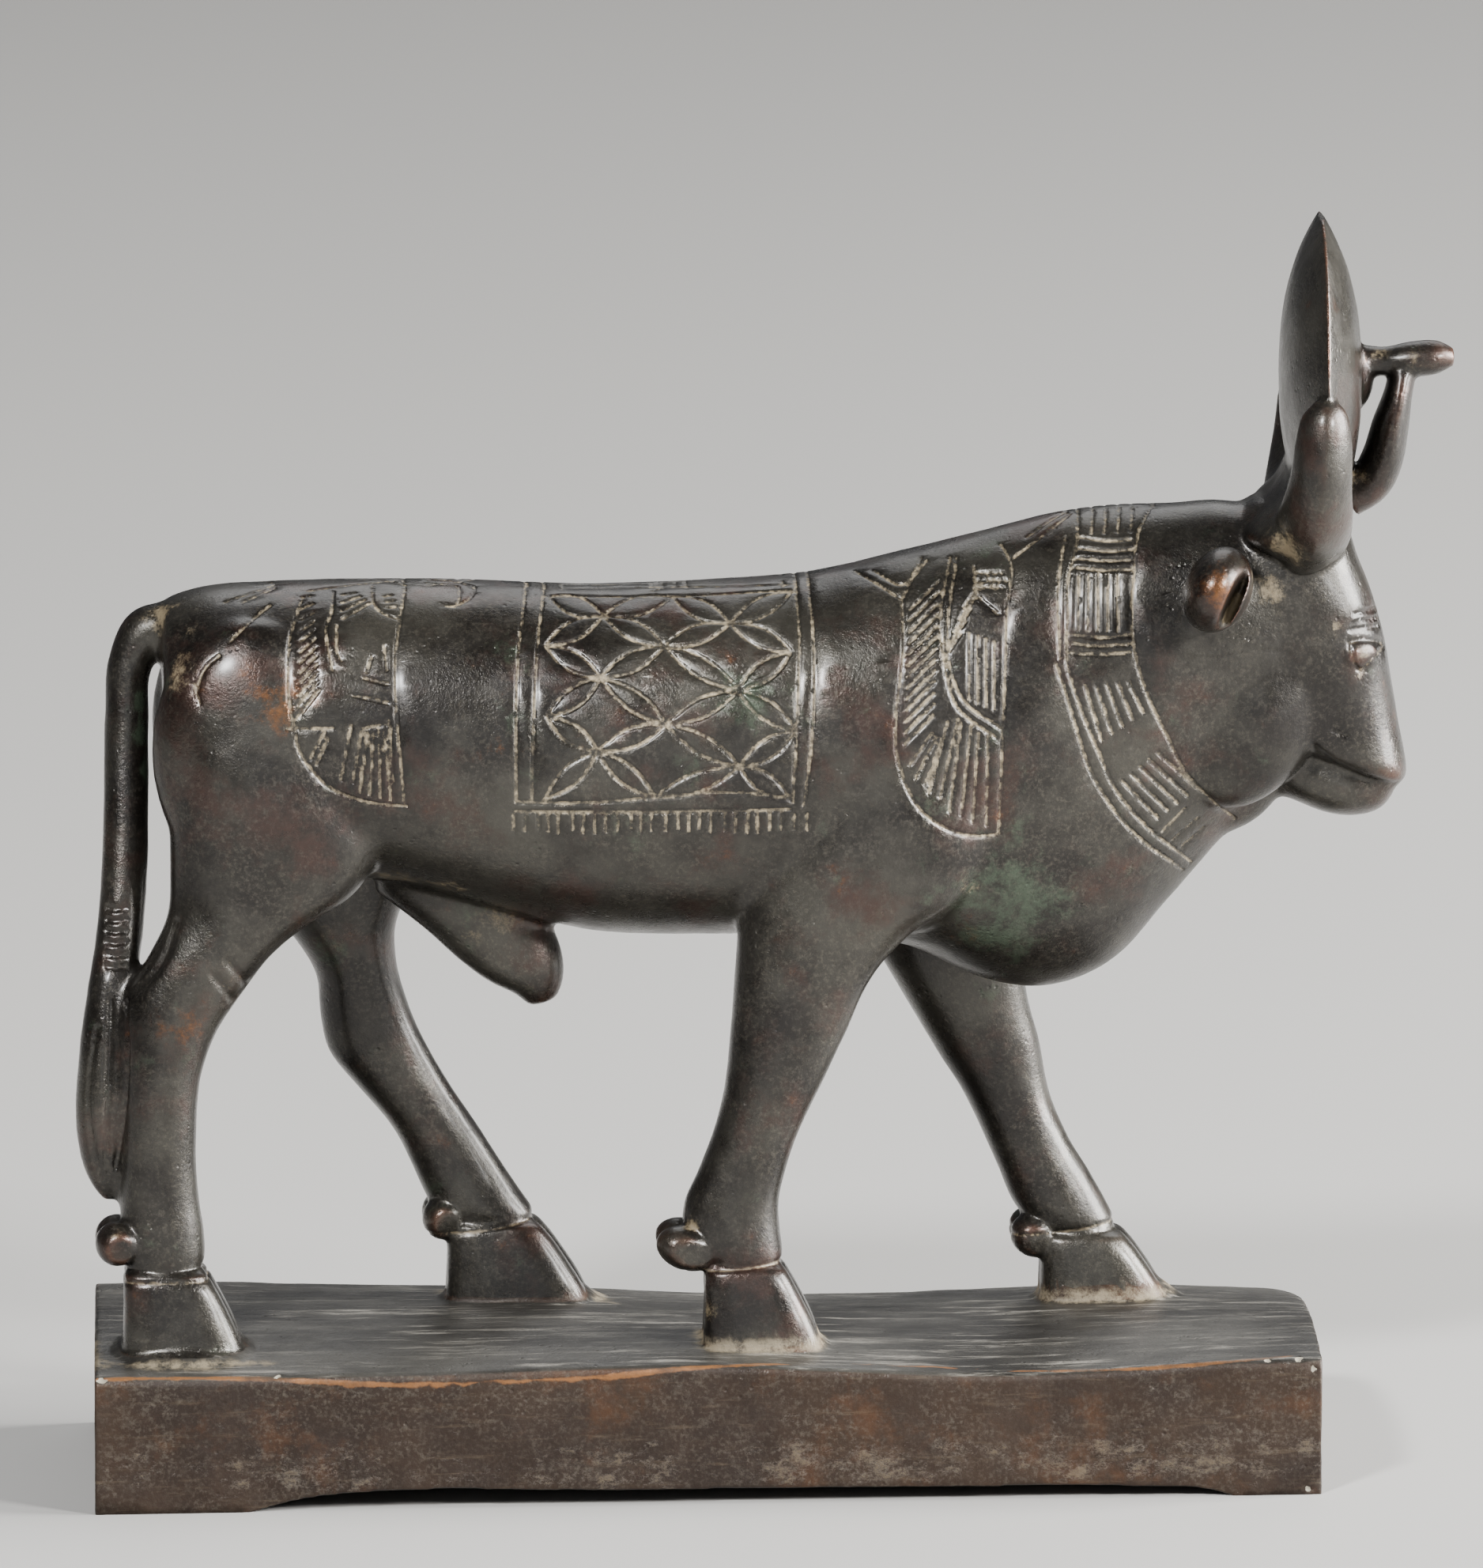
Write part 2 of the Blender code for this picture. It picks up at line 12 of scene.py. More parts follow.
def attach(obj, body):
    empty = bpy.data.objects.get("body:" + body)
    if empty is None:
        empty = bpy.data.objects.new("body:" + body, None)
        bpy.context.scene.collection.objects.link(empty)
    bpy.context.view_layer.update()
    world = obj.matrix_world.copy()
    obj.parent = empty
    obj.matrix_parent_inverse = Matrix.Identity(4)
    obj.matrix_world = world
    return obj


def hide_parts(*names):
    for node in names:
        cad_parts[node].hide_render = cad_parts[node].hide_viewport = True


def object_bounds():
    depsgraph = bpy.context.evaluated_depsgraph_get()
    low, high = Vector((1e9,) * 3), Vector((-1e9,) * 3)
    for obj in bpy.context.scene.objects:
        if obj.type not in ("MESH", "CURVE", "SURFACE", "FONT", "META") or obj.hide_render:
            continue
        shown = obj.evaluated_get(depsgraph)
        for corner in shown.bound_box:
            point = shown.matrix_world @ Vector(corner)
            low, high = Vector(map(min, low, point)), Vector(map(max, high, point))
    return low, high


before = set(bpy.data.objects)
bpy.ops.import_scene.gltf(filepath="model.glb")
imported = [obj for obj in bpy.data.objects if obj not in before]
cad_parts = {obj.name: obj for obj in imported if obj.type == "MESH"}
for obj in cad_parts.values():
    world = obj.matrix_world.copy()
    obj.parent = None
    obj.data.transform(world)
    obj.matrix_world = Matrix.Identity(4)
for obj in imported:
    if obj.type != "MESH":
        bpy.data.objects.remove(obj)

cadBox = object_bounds()
mm = 0.001
scene = bpy.context.scene

# Side tables are in millimetres through the plinth's middle. The bull faces +X, its right side is at -Y.
casting = {
    "fleshVoxel": 0.4,
    "fleshSmoothing": 20,
    "voxel": 0.25,
    "smoothing": 7,
    "triangles": 187000,
    "keepGrooves": 3.0e-7,  # how strongly the thinning spares the grooves
    "longestEdge": 2.4,
    "doubles": 0.004,
    "flatBelow": 3.0,  # long edges lower than this stay
    "leanDegrees": 0.65,  # the whole figure leans forward
    "slope": 0.0047,  # and its underside falls a little along its length
}

photo = {
    "width": 1876,
    "height": 1983,
    "mmPerPixel": 0.0761,
    "azimuth": -1.5,
    "elevation": 10.5,
    "roll": 0.65,
    "aim": (-2.16, 0.0, 66.28),
    "distance": 2000.0,
    "sensor": 36.0,
}


def smoothRows(rows, steps):
    # a smooth run of rows through the given ones
    rows = np.array(rows, dtype=float)
    gaps = np.maximum(np.linalg.norm(np.diff(rows, axis=0), axis=1), 1e-6)
    slopes = np.diff(rows, axis=0) / gaps[:, None]
    tangents = np.empty_like(rows)
    tangents[0], tangents[-1] = slopes[0], slopes[-1]
    before, after = gaps[:-1, None], gaps[1:, None]
    tangents[1:-1] = (slopes[:-1] * after + slopes[1:] * before) / (before + after)
    run = []
    for i, gap in enumerate(gaps):
        for step in range(steps):
            t = step / steps
            run.append(
                (2 * t**3 - 3 * t**2 + 1) * rows[i]
                + (t**3 - 2 * t**2 + t) * gap * tangents[i]
                + (3 * t**2 - 2 * t**3) * rows[i + 1]
                + (t**3 - t**2) * gap * tangents[i + 1]
            )
    run.append(rows[-1])
    return run


def squircle(angle, power):
    c, s = math.cos(angle), math.sin(angle)
    return math.copysign(abs(c) ** (2 / power), c), math.copysign(abs(s) ** (2 / power), s)


def loft(sections, around):
    # every section turns an angle into a point; circles take those shapes and are bridged
    bm = bmesh.new()
    before = []
    for section in sections:
        ring = bmesh.ops.create_circle(bm, segments=around, radius=1.0)["verts"]
        for vert in ring:
            vert.co = Vector(section(math.atan2(vert.co.y, vert.co.x))) * mm
        edges = list({edge for vert in ring for edge in vert.link_edges})
        if before:
            bmesh.ops.bridge_loops(bm, edges=before + edges)
        before = edges
    bmesh.ops.holes_fill(bm, edges=[edge for edge in bm.edges if edge.is_boundary], sides=0)
    bmesh.ops.recalc_face_normals(bm, faces=bm.faces[:])
    return bm


def trunkForm(rows, power=2.2):
    # upright sections: x, top, widest height, bottom, half width, power of the lower half
    def section(row):
        x, top, widest, bottom, half, keel = row

        def point(angle):
            above = math.sin(angle) > 0
            across, up = squircle(angle, power if above else keel)
            return x, across * half, widest + up * (top - widest if above else widest - bottom)

        return point

    return loft([section(row) for row in smoothRows(rows, 8)], 72)


def limbForm(rows, power=2.2, around=40):
    # level sections: z, back x, front x, middle y, half width
    def section(row):
        z, back, front, y, half = row

        def point(angle):
            along, across = squircle(angle, power)
            return (back + front) / 2 + along * (front - back) / 2, y + across * half, z

        return point

    return loft([section(row) for row in smoothRows(rows, 6)], around)


def strandForm(rows, power=2.0, around=28):
    # sections square to a path: x, y, z, half size in the side view, half size in y
    rows = smoothRows(rows, 8)

    def section(i):
        heading = Vector(rows[min(i + 1, len(rows) - 1)][:3]) - Vector(rows[max(i - 1, 0)][:3])
        side = heading.cross(Vector((0, 1, 0))).normalized()
        level = side.cross(heading).normalized()

        def point(angle):
            a, b = squircle(angle, power)
            return Vector(rows[i][:3]) + side * a * rows[i][3] + level * b * rows[i][4]

        return point

    return loft([section(i) for i in range(len(rows))], around)


def lumpForm(centre, radii, turn=(0, 0, 0)):
    bm = bmesh.new()
    bmesh.ops.create_uvsphere(bm, u_segments=40, v_segments=24, radius=1.0)
    matrix = Matrix.Translation(Vector(centre) * mm)
    for axis, degrees in zip("XYZ", turn):
        matrix = matrix @ Matrix.Rotation(math.radians(degrees), 4, axis)
    matrix = matrix @ Matrix.Diagonal((*[r * mm for r in radii], 1))
    bmesh.ops.transform(bm, matrix=matrix, verts=bm.verts[:])
    return bm


def bothSides(make, place, *rest):
    x, y, z = place
    return [make((x, side * y, z), *rest) for side in (-1, 1)]


def meshObject(name, bm):
    mesh = bpy.data.meshes.new(name)
    bm.to_mesh(mesh)
    bm.free()
    item = bpy.data.objects.new(name, mesh)
    scene.collection.objects.link(item)
    return item


def applied(item):
    # the object's mesh with its modifiers applied
    bpy.context.view_layer.update()
    graph = bpy.context.evaluated_depsgraph_get()
    mesh = bpy.data.meshes.new_from_object(item.evaluated_get(graph))
    item.modifiers.clear()
    old = item.data
    item.data = mesh
    bpy.data.meshes.remove(old)
    return item


def addSmooth(item, iterations):
    soften = item.modifiers.new("Soften", "SMOOTH")
    soften.factor = 0.5
    soften.iterations = iterations


def fused(name, forms, voxel, smoothing):
    whole = bmesh.new()
    for form in forms:
        if isinstance(form, bpy.types.Object):
            whole.from_mesh(form.data)
            bpy.data.objects.remove(form, do_unlink=True)
        else:
            piece = bpy.data.meshes.new("form")
            form.to_mesh(piece)
            form.free()
            whole.from_mesh(piece)
            bpy.data.meshes.remove(piece)
    item = meshObject(name, whole)
    remesh = item.modifiers.new("Fuse", "REMESH")
    remesh.mode = "VOXEL"
    remesh.voxel_size = voxel * mm
    addSmooth(item, smoothing)
    return applied(item)


body = {
    "trunk": (
        (-52.0, 83.2, 80, 76, 4.5, 2.2),
        (-50.8, 84.7, 75, 64, 9.5, 2.2),
        (-47, 85.6, 73, 59, 12.4, 2.2),
        (-40, 86.0, 72, 57, 13.6, 2.2),
        (-31, 86.2, 71, 57.5, 13.9, 2.2),
        (-22, 86.1, 70, 55.2, 14.2, 2.2),
        (-11, 85.7, 69, 52.4, 14.7, 2.2),
        (0, 86.1, 69, 52.0, 14.8, 2.2),
        (10, 86.9, 69, 52.0, 14.4, 2.1),
        (20, 89.2, 70, 50.6, 13.9, 2.0),
        (27, 91.0, 71, 47.4, 13.0, 2.0),
        (33, 92.6, 73, 46.6, 12.0, 1.9),
        (39, 93.5, 76, 48.8, 11.0, 1.8),
        (45, 93.7, 79, 55.2, 10.3, 1.6),
        (50, 94.0, 81, 61.0, 9.6, 1.5),
        (55, 93.0, 82, 66.5, 8.6, 1.5),
    ),
    "haunchRight": (
        (80, -49, -42, -6, 3.2),
        (76, -51.6, -36.5, -7.0, 5.6),
        (68, -51.4, -32.5, -8.0, 6.6),
        (62, -51.4, -31, -8.3, 6.0),
        (57.5, -51.4, -33.5, -8.7, 5.2),
        (54.5, -51.9, -38, -9.2, 4.6),
        (51.2, -53.6, -42.0, -9.8, 4.2),
        (48.2, -55.3, -44.2, -10.2, 3.9),
        (44, -56.0, -47.0, -10.6, 3.7),
        (40, -56.0, -48.4, -10.9, 3.6),
        (34, -56.0, -48.9, -11, 3.5),
        (28, -56.2, -48.7, -11, 3.5),
        (24, -56.4, -48.1, -11, 3.8),
        (21.8, -56.2, -48.2, -11, 3.8),
        (21.0, -55.6, -48.8, -11, 3.4),
        (17, -55.0, -49.2, -11, 3.2),
    ),
    "haunchLeft": (
        (80, -49, -40, 6, 3.2),
        (76, -51.4, -34.5, 7.0, 5.6),
        (68, -51.2, -30.5, 8.0, 6.6),
        (60, -50.0, -27.5, 8.4, 6.0),
        (54, -43.6, -28.5, 9.0, 5.2),
        (50, -39.7, -29.6, 9.4, 4.5),
        (46, -37.3, -29.2, 9.8, 4.0),
        (42, -36.9, -28.0, 10.2, 3.8),
        (38.5, -36.2, -26.4, 10.5, 3.7),
        (35, -33.6, -24.4, 10.8, 3.6),
        (31, -30.2, -21.8, 11, 3.5),
        (27, -28.1, -19.3, 11, 3.5),
        (24, -26.8, -17.3, 11, 3.8),
        (22.0, -25.6, -16.0, 11, 3.8),
        (21.2, -24.6, -16.4, 11, 3.4),
        (17, -22.6, -15.2, 11, 3.2),
    ),
    "shoulderRight": (
        (76, 10, 24, -6.5, 5.5),
        (70, 5.5, 29, -7.6, 6.4),
        (63, 3.9, 29, -8.3, 6.3),
        (57, 3.4, 24.6, -9.0, 5.6),
        (53.5, 3.0, 19.6, -9.5, 5.0),
        (49.5, 2.7, 16.0, -9.9, 4.6),
        (44.4, 2.3, 13.6, -10.4, 4.2),
        (39.5, 1.8, 11.3, -10.8, 3.9),
        (35, 0.8, 9.1, -11, 3.7),
        (30.5, -0.9, 7.6, -11, 3.6),
        (27.5, -2.2, 7.0, -11, 3.7),
        (24.5, -2.2, 7.2, -11, 3.9),
        (22.2, -0.6, 7.4, -11, 3.8),
        (21.4, 0.6, 6.9, -11, 3.4),
        (17, 1.4, 6.8, -11, 3.2),
    ),
    "shoulderLeft": (
        (76, 12, 28, 6.5, 5.5),
        (68, 9, 31, 7.8, 6.4),
        (60, 11, 32, 8.6, 5.9),
        (54, 14.0, 31.6, 9.2, 5.2),
        (48, 17.2, 31.2, 9.8, 4.6),
        (43.5, 19.8, 31.8, 10.2, 4.3),
        (38.5, 22.7, 33.1, 10.7, 4.0),
        (34, 25.5, 33.9, 11, 3.8),
        (29.5, 27.6, 35.8, 11, 3.6),
        (26, 29.1, 37.9, 11, 3.7),
        (23, 30.4, 39.6, 11, 3.9),
        (21.0, 32.2, 40.4, 11, 3.8),
        (20.2, 33.4, 40.0, 11, 3.4),
        (16, 34.8, 40.8, 11, 3.2),
    ),
    "sheath": (
        (-29, 0, 60.4, 5.2, 3.6),
        (-24.0, 0, 56.8, 5.4, 3.6),
        (-19.4, 0, 51.8, 4.8, 3.3),
        (-16.2, 0, 47.6, 3.2, 2.8),
        (-15.4, 0, 45.0, 1.5, 1.6),
    ),
    # swellings on both sides: centre, radii, turn
    "lumps": (
        ((-42.5, 8.2, 70), (10.5, 5.6, 14), (0, -8, 0)),  # thigh
        ((20, 8.0, 69), (11, 5.8, 16), (0, 12, 0)),  # shoulder
    ),
}


def bodyForms():
    forms = [trunkForm(body["trunk"]), strandForm(body["sheath"])]
    forms += [limbForm(body[name]) for name in ("haunchRight", "haunchLeft", "shoulderRight", "shoulderLeft")]
    for lump in body["lumps"]:
        forms += bothSides(lumpForm, *lump)
    return forms


head = {
    "face": (
        (94.5, 53, 58.5, 0, 4.6),
        (92, 50, 61.8, 0, 6.6),
        (88.5, 48, 63.0, 0, 7.9),
        (85, 47, 64.4, 0, 8.4),
        (81, 47, 65.5, 0, 8.3),
        (77, 47.5, 66.3, 0, 7.8),
        (73.5, 50, 67.0, 0, 7.3),
        (71.2, 53.6, 67.6, 0, 7.0),
        (69.6, 56.6, 67.7, 0, 6.8),
        (68.8, 57.2, 67.3, 0, 6.0),
    ),
    # the face's lower end slants down to the front: height per length, pivot x, from and to height
    "slant": (0.39, 62.0, 80.0, 70.0),
    "throat": (
        (44, 0, 68, 8.4, 4.5),
        (50, 0, 67.6, 6.0, 3.6),
        (55.2, 0, 69.4, 4.0, 3.2),
        (58.6, 0, 68.0, 3.6, 4.2),
        (61.2, 0, 66.8, 3.4, 4.8),
        (63.8, 0, 66.4, 2.9, 4.6),
        (65.6, 0, 66.8, 2.0, 3.8),
        (66.4, 0, 67.0, 1.0, 2.4),
    ),
    "lumps": (
        ((52.6, 4.7, 73.6), (6.4, 4.4, 9.4), (0, 28, 0)),  # jaw
        ((60.6, 5.0, 83.8), (3.2, 2.8, 2.4), (0, 0, 0)),  # brow
    ),
    "eyeball": ((63.1, 6.7, 80.2), (1.9, 0.65, 1.25), (0, 0, 40)),
}

tail = (
    (-50.3, 0, 81.6, 2.2, 2.8),
    (-53.2, 0, 81.4, 2.5, 2.8),
    (-55.0, -0.3, 78.5, 2.2, 2.5),
    (-55.4, -1.2, 73, 2.2, 2.4),
    (-55.5, -2.8, 66, 2.25, 2.4),
    (-55.7, -4.6, 59, 2.3, 2.4),
    (-56.2, -6.4, 53, 2.3, 2.4),
    (-57.1, -8.0, 47, 2.4, 2.5),
    (-57.6, -9.0, 40, 2.8, 2.8),
    (-57.9, -9.6, 34, 2.6, 2.6),
    (-57.7, -9.8, 30, 1.8, 1.8),
    (-57.3, -9.8, 27.4, 0.6, 0.7),
)


def headForms():
    face = limbForm(head["face"], power=2.8)
    slope, pivot, top, bottom = head["slant"]
    for vert in face.verts:
        share = max(0.0, min(1.0, (top - vert.co.z / mm) / (top - bottom)))
        vert.co.z -= slope * share * (vert.co.x - pivot * mm)
    forms = [face, strandForm(head["throat"])]
    for lump in head["lumps"]:
        forms += bothSides(lumpForm, *lump)
    return forms


feet = {
    # coronet height, back and front there, y, how far the toe runs forward
    "nearHind": (21.3, -56.0, -48.2, -11.0, 3.4),
    "nearFore": (21.7, -0.2, 7.4, -11.0, 3.4),
    "farHind": (21.5, -24.6, -15.8, 11.0, 4.6),
    "farFore": (20.4, 33.0, 41.0, 11.0, 4.6),
    # centre x, y, z, reach and turn of a dewclaw
    "claws": (
        (-56.6, -11.0, 23.9, 2.1, 30),
        (-1.9, -11.0, 23.4, 3.1, 18),
        (-25.0, 11.0, 21.9, 2.0, 30),
        (32.3, 11.0, 20.1, 2.3, 30),
    ),
    # a dewclaw's flat sides, its distance from the heel's middle, its outward turn and its other radii
    "clawShape": {"flat": 0.8, "apart": 1.9, "splay": 14, "radii": (2.6, 2.1)},
}

disc = {"centre": (59.25, 0.0, 106.2), "radius": 15.9, "halfThickness": 3.9, "steps": 96}

crown = {
    "horn": (
        (57.6, 4.0, 91.4, 4.0, 4.2),
        (58.0, 8.0, 92.6, 3.9, 4.3),
        (58.3, 12.0, 95.0, 3.5, 4.0),
        (58.6, 14.3, 98.6, 3.0, 3.3),
        (58.8, 15.1, 102.4, 2.7, 2.6),
        (58.9, 15.1, 105.0, 2.1, 1.9),
        (58.8, 15.0, 106.3, 0.9, 0.8),
    ),
    "web": (
        (104.5, 57.2, 62.4, 0, 10.0),
        (101.5, 56.6, 62.2, 0, 12.8),
        (98, 56.1, 62.0, 0, 13.2),
        (95.6, 54.9, 61.8, 0, 13.0),
        (93.6, 52.8, 61.6, 0, 12.6),
        (91.6, 51.0, 61.4, 0, 11.6),
        (89.6, 53.6, 60.8, 0, 9.4),
        (88.4, 55.0, 60.0, 0, 7.0),
    ),
    "cobra": (
        (61.8, 0, 94.4, 2.1, 2.4),
        (64.1, 0, 95.9, 2.1, 2.9),
        (65.3, 0, 98.3, 2.0, 3.3),
        (66.0, 0, 101.3, 1.8, 3.4),
        (66.7, 0, 104.2, 1.4, 3.0),
        (67.2, 0, 106.8, 1.3, 2.1),
    ),
    "cobraHead": (
        (63.0, 0, 107.6, 1.6, 1.8),
        (65.6, 0, 107.6, 1.4, 1.6),
        (68.1, 0, 107.8, 1.7, 2.1),
        (70.5, 0, 108.0, 1.6, 1.9),
        (72.1, 0, 108.0, 0.8, 1.0),
    ),
    # swelling of the disc that carries the cobra's head
    "boss": ((61.6, 0, 106.0), (2.8, 3.4, 3.6)),
}

ear = {
    "leaf": ((48.9, 12.4, 87.5), (3.2, 6.0, 4.3)),
    "hollow": ((50.0, 17.0, 86.9), (0.65, 4.0, 4.0)),
    "openTurn": 24,
    "sweep": 8,
    "rise": 6,
}

plinth = {
    "length": 117.6,
    "depth": 42.0,
    "crown": 1.2,
    "corner": 5.0,
    "edgeRound": 0.8,
    "topHeight": 13.1,
    "skinLift": 0.75,  # the plinth's finish reaches this far up the hooves
    # x, bottom, front edge, back edge
    "rows": (
        (-58.8, -1.2, 12.3, 13.0),
        (-47, -0.9, 12.4, 13.2),
        (-40, 1.0, 12.6, 13.0),
        (-28, 1.9, 12.8, 12.8),
        (-14, 1.6, 13.3, 12.6),
        (0, 1.5, 13.6, 12.0),
        (14, 1.4, 13.1, 11.9),
        (28, 1.3, 12.7, 12.4),
        (40, 1.1, 13.2, 12.9),
        (48, 0.6, 13.8, 12.7),
        (53, -0.9, 14.0, 12.5),
        (58.8, -1.2, 14.2, 12.4),
    ),
}


def hoofForms(top, back, front, y, toe):
    # two lobes with a sharp ledge at the coronet, flared down to the plinth
    forms = []
    for side in (-1, 1):
        rows = (
            (top, back + 0.5, front - 0.4, y + side * 1.5, 2.0),
            (top - 0.3, back + 0.1, front + 0.1, y + side * 1.6, 2.4),
            (top - 1.2, back, front + toe * 0.2, y + side * 1.7, 2.6),
            (top - 3.4, back, front + toe * 0.55, y + side * 1.8, 2.8),
            (top - 6.4, back - 0.1, front + toe * 0.95, y + side * 1.9, 3.1),
            (12.4, back - 0.2, front + toe * 1.2, y + side * 1.9, 3.2),
        )
        forms.append(limbForm(rows, power=3.2))
    # the sole spreads into the plinth
    sole = (
        (15.2, back + 0.6, front + toe * 0.9, y, 4.0),
        (14.4, back + 0.1, front + toe * 1.1, y, 4.9),
        (13.7, back - 0.7, front + toe * 1.35, y, 5.6),
        (12.8, back - 2.0, front + toe * 1.9, y, 6.8),
    )
    forms.append(limbForm(sole, power=2.4))
    return forms


def clawForms(x, y, z, reach, turn):
    # an egg with a flat outer side on each side of the heel
    shape = feet["clawShape"]
    flat = shape["flat"]
    forms = []
    for side in (-1, 1):
        bm = lumpForm((0, 0, 0), (1.0, 1.0, 1.0))
        for vert in bm.verts:
            vert.co.y = max(-flat * mm, min(flat * mm, vert.co.y))
        matrix = Matrix.Translation(Vector((x, y + side * shape["apart"], z)) * mm)
        matrix = matrix @ Matrix.Rotation(math.radians(turn), 4, "Y")
        matrix = matrix @ Matrix.Rotation(math.radians(-side * shape["splay"]), 4, "Z")
        matrix = matrix @ Matrix.Diagonal((reach, *shape["radii"], 1))
        bmesh.ops.transform(bm, matrix=matrix, verts=bm.verts[:])
        forms.append(bm)
    return forms


def discForm():
    # a half profile from back to front, spun about the disc's axis
    bm = bmesh.new()
    count = 18
    profile = []
    for i in range(-count, count + 1):
        reach = math.cos(math.pi / 2 * i / count)
        bulge = disc["halfThickness"] * (1 - reach**2.6)
        profile.append(bm.verts.new(Vector((math.copysign(bulge, i), 0, reach * disc["radius"])) * mm))
    edges = [bm.edges.new(pair) for pair in zip(profile, profile[1:])]
    bmesh.ops.spin(
        bm, geom=profile + edges, cent=(0, 0, 0), axis=(1, 0, 0), angle=math.tau,
        steps=disc["steps"], use_merge=True,
    )
    bmesh.ops.remove_doubles(bm, verts=bm.verts[:], dist=0.01 * mm)
    bmesh.ops.recalc_face_normals(bm, faces=bm.faces[:])
    bmesh.ops.translate(bm, vec=Vector(disc["centre"]) * mm, verts=bm.verts[:])
    return bm


def crownForms():
    forms = [discForm(), limbForm(crown["web"]), strandForm(crown["cobra"]), strandForm(crown["cobraHead"])]
    forms.append(lumpForm(*crown["boss"]))
    for side in (-1, 1):
        rows = [(x, side * y, z, a, b) for x, y, z, a, b in crown["horn"]]
        forms.append(strandForm(rows, power=1.6, around=36))
    return forms


def earPiece(side):
    turn = (side * ear["rise"], ear["openTurn"], side * ear["sweep"])
    made = []
    for name in ("leaf", "hollow"):
        (x, y, z), radii = ear[name]
        made.append(meshObject(f"ear_{name}", lumpForm((x, side * y, z), radii, turn)))
    leaf, hollow = made
    cut = leaf.modifiers.new("Hollow", "BOOLEAN")
    cut.operation = "DIFFERENCE"
    cut.object = hollow
    applied(leaf)
    bpy.data.objects.remove(hollow, do_unlink=True)
    return leaf


def plinthForm():
    halfLength = plinth["length"] / 2
    halfDepth = plinth["depth"] / 2
    level = math.tan(math.radians(casting["leanDegrees"])) + casting["slope"]
    radius = plinth["edgeRound"]

    def section(row):
        x, bottom, frontEdge, backEdge = row
        intoCorner = max(0.0, x - (halfLength - plinth["corner"])) / plinth["corner"]
        back = halfDepth - plinth["corner"] * (1 - math.sqrt(1 - min(intoCorner, 1.0) ** 2))
        front = -halfDepth
        base = bottom + level * x

        def topAt(y):
            share = (y - front) / (back - front)
            return frontEdge * (1 - share) + backEdge * share + plinth["crown"] * 4 * share * (1 - share)

        def point(angle):
            # the angle runs round a rounded rectangle: along the top, then the sides and the underside
            across, up = math.cos(angle), math.sin(angle)
            scale = 1 / max(abs(across), abs(up))
            across, up = across * scale, up * scale
            y = (front + back) / 2 + across * (back - front) / 2
            if up < 0:
                edge = topAt(y) - radius
                share = min(1.0, (1 + up) if abs(across) > 0.999 else 0.0)
                return x, y, base + (edge - base) * share
            if abs(across) > 0.999:
                turn = math.pi / 2 * up
                y -= math.copysign(radius * (1 - math.cos(turn)), across)
                return x, y, topAt(y) - radius + radius * math.sin(turn)
            y = (front + back) / 2 + across * ((back - front) / 2 - radius)
            return x, y, topAt(y)

        return point

    return loft([section(row) for row in smoothRows(plinth["rows"], 8)], 160)


def buildCasting():
    soft = bodyForms() + headForms() + [strandForm(tail)]
    flesh = fused("flesh", soft, casting["fleshVoxel"], casting["fleshSmoothing"])
    forms = [flesh, plinthForm(), earPiece(-1), earPiece(1)] + crownForms()
    for name in ("nearHind", "nearFore", "farHind", "farFore"):
        forms += hoofForms(*feet[name])
    for claw in feet["claws"]:
        forms += clawForms(*claw)
    forms += bothSides(lumpForm, *head["eyeball"])
    return fused("bull", forms, casting["voxel"], casting["smoothing"])


def readPoints(mesh, kind="co"):
    values = np.empty(len(mesh.vertices) * 3, np.float32)
    mesh.vertices.foreach_get(kind, values)
    return values.reshape(-1, 3).astype(float)


def readSkin(item):
    return readPoints(item.data), readPoints(item.data, "normal")


def treeOf(item):
    return BVHTree.FromPolygons([v.co for v in item.data.vertices], [p.vertices for p in item.data.polygons])


def writePoints(mesh, points):
    mesh.vertices.foreach_set("co", points.astype(np.float32).ravel())
    mesh.update()


def leanAndCentre(item):
    # the whole figure leans forward a little, and its box is centred as the solid's is
    lean = Matrix.Rotation(math.radians(casting["leanDegrees"]), 4, "Y")
    lean[2][0] -= casting["slope"]
    item.data.transform(lean)
    points = readPoints(item.data)
    standing = points[points[:, 2] > 0]
    middle = (standing.min(0) + standing.max(0)) / 2
    middle[2] = 0
    writePoints(item.data, points - middle)


print("fusing the casting")
bull = buildCasting()
leanAndCentre(bull)
print("fused", len(bull.data.vertices), "points")


# The camera's view, for lines read off the photograph.
def cameraAxes():
    a, e = math.radians(photo["azimuth"]), math.radians(photo["elevation"])
    look = Vector((-math.sin(a) * math.cos(e), math.cos(a) * math.cos(e), -math.sin(e)))
    turn = look.to_track_quat("-Z", "Y").to_matrix() @ Matrix.Rotation(math.radians(-photo["roll"]), 3, "Z")
    return look, turn


lookAlong, cameraTurn = cameraAxes()
cameraPlace = (Vector(photo["aim"]) - lookAlong * photo["distance"]) * mm


def sightOn(surface, px, py):
    # where a pixel of the photograph falls on the surface
    right, up = cameraTurn.col[0], cameraTurn.col[1]
    across = (px - photo["width"] / 2) * photo["mmPerPixel"]
    rise = (photo["height"] / 2 - py) * photo["mmPerPixel"]
    seen = (Vector(photo["aim"]) + right * across + up * rise) * mm
    hit = surface.ray_cast(cameraPlace, (seen - cameraPlace).normalized())
    return hit[0]


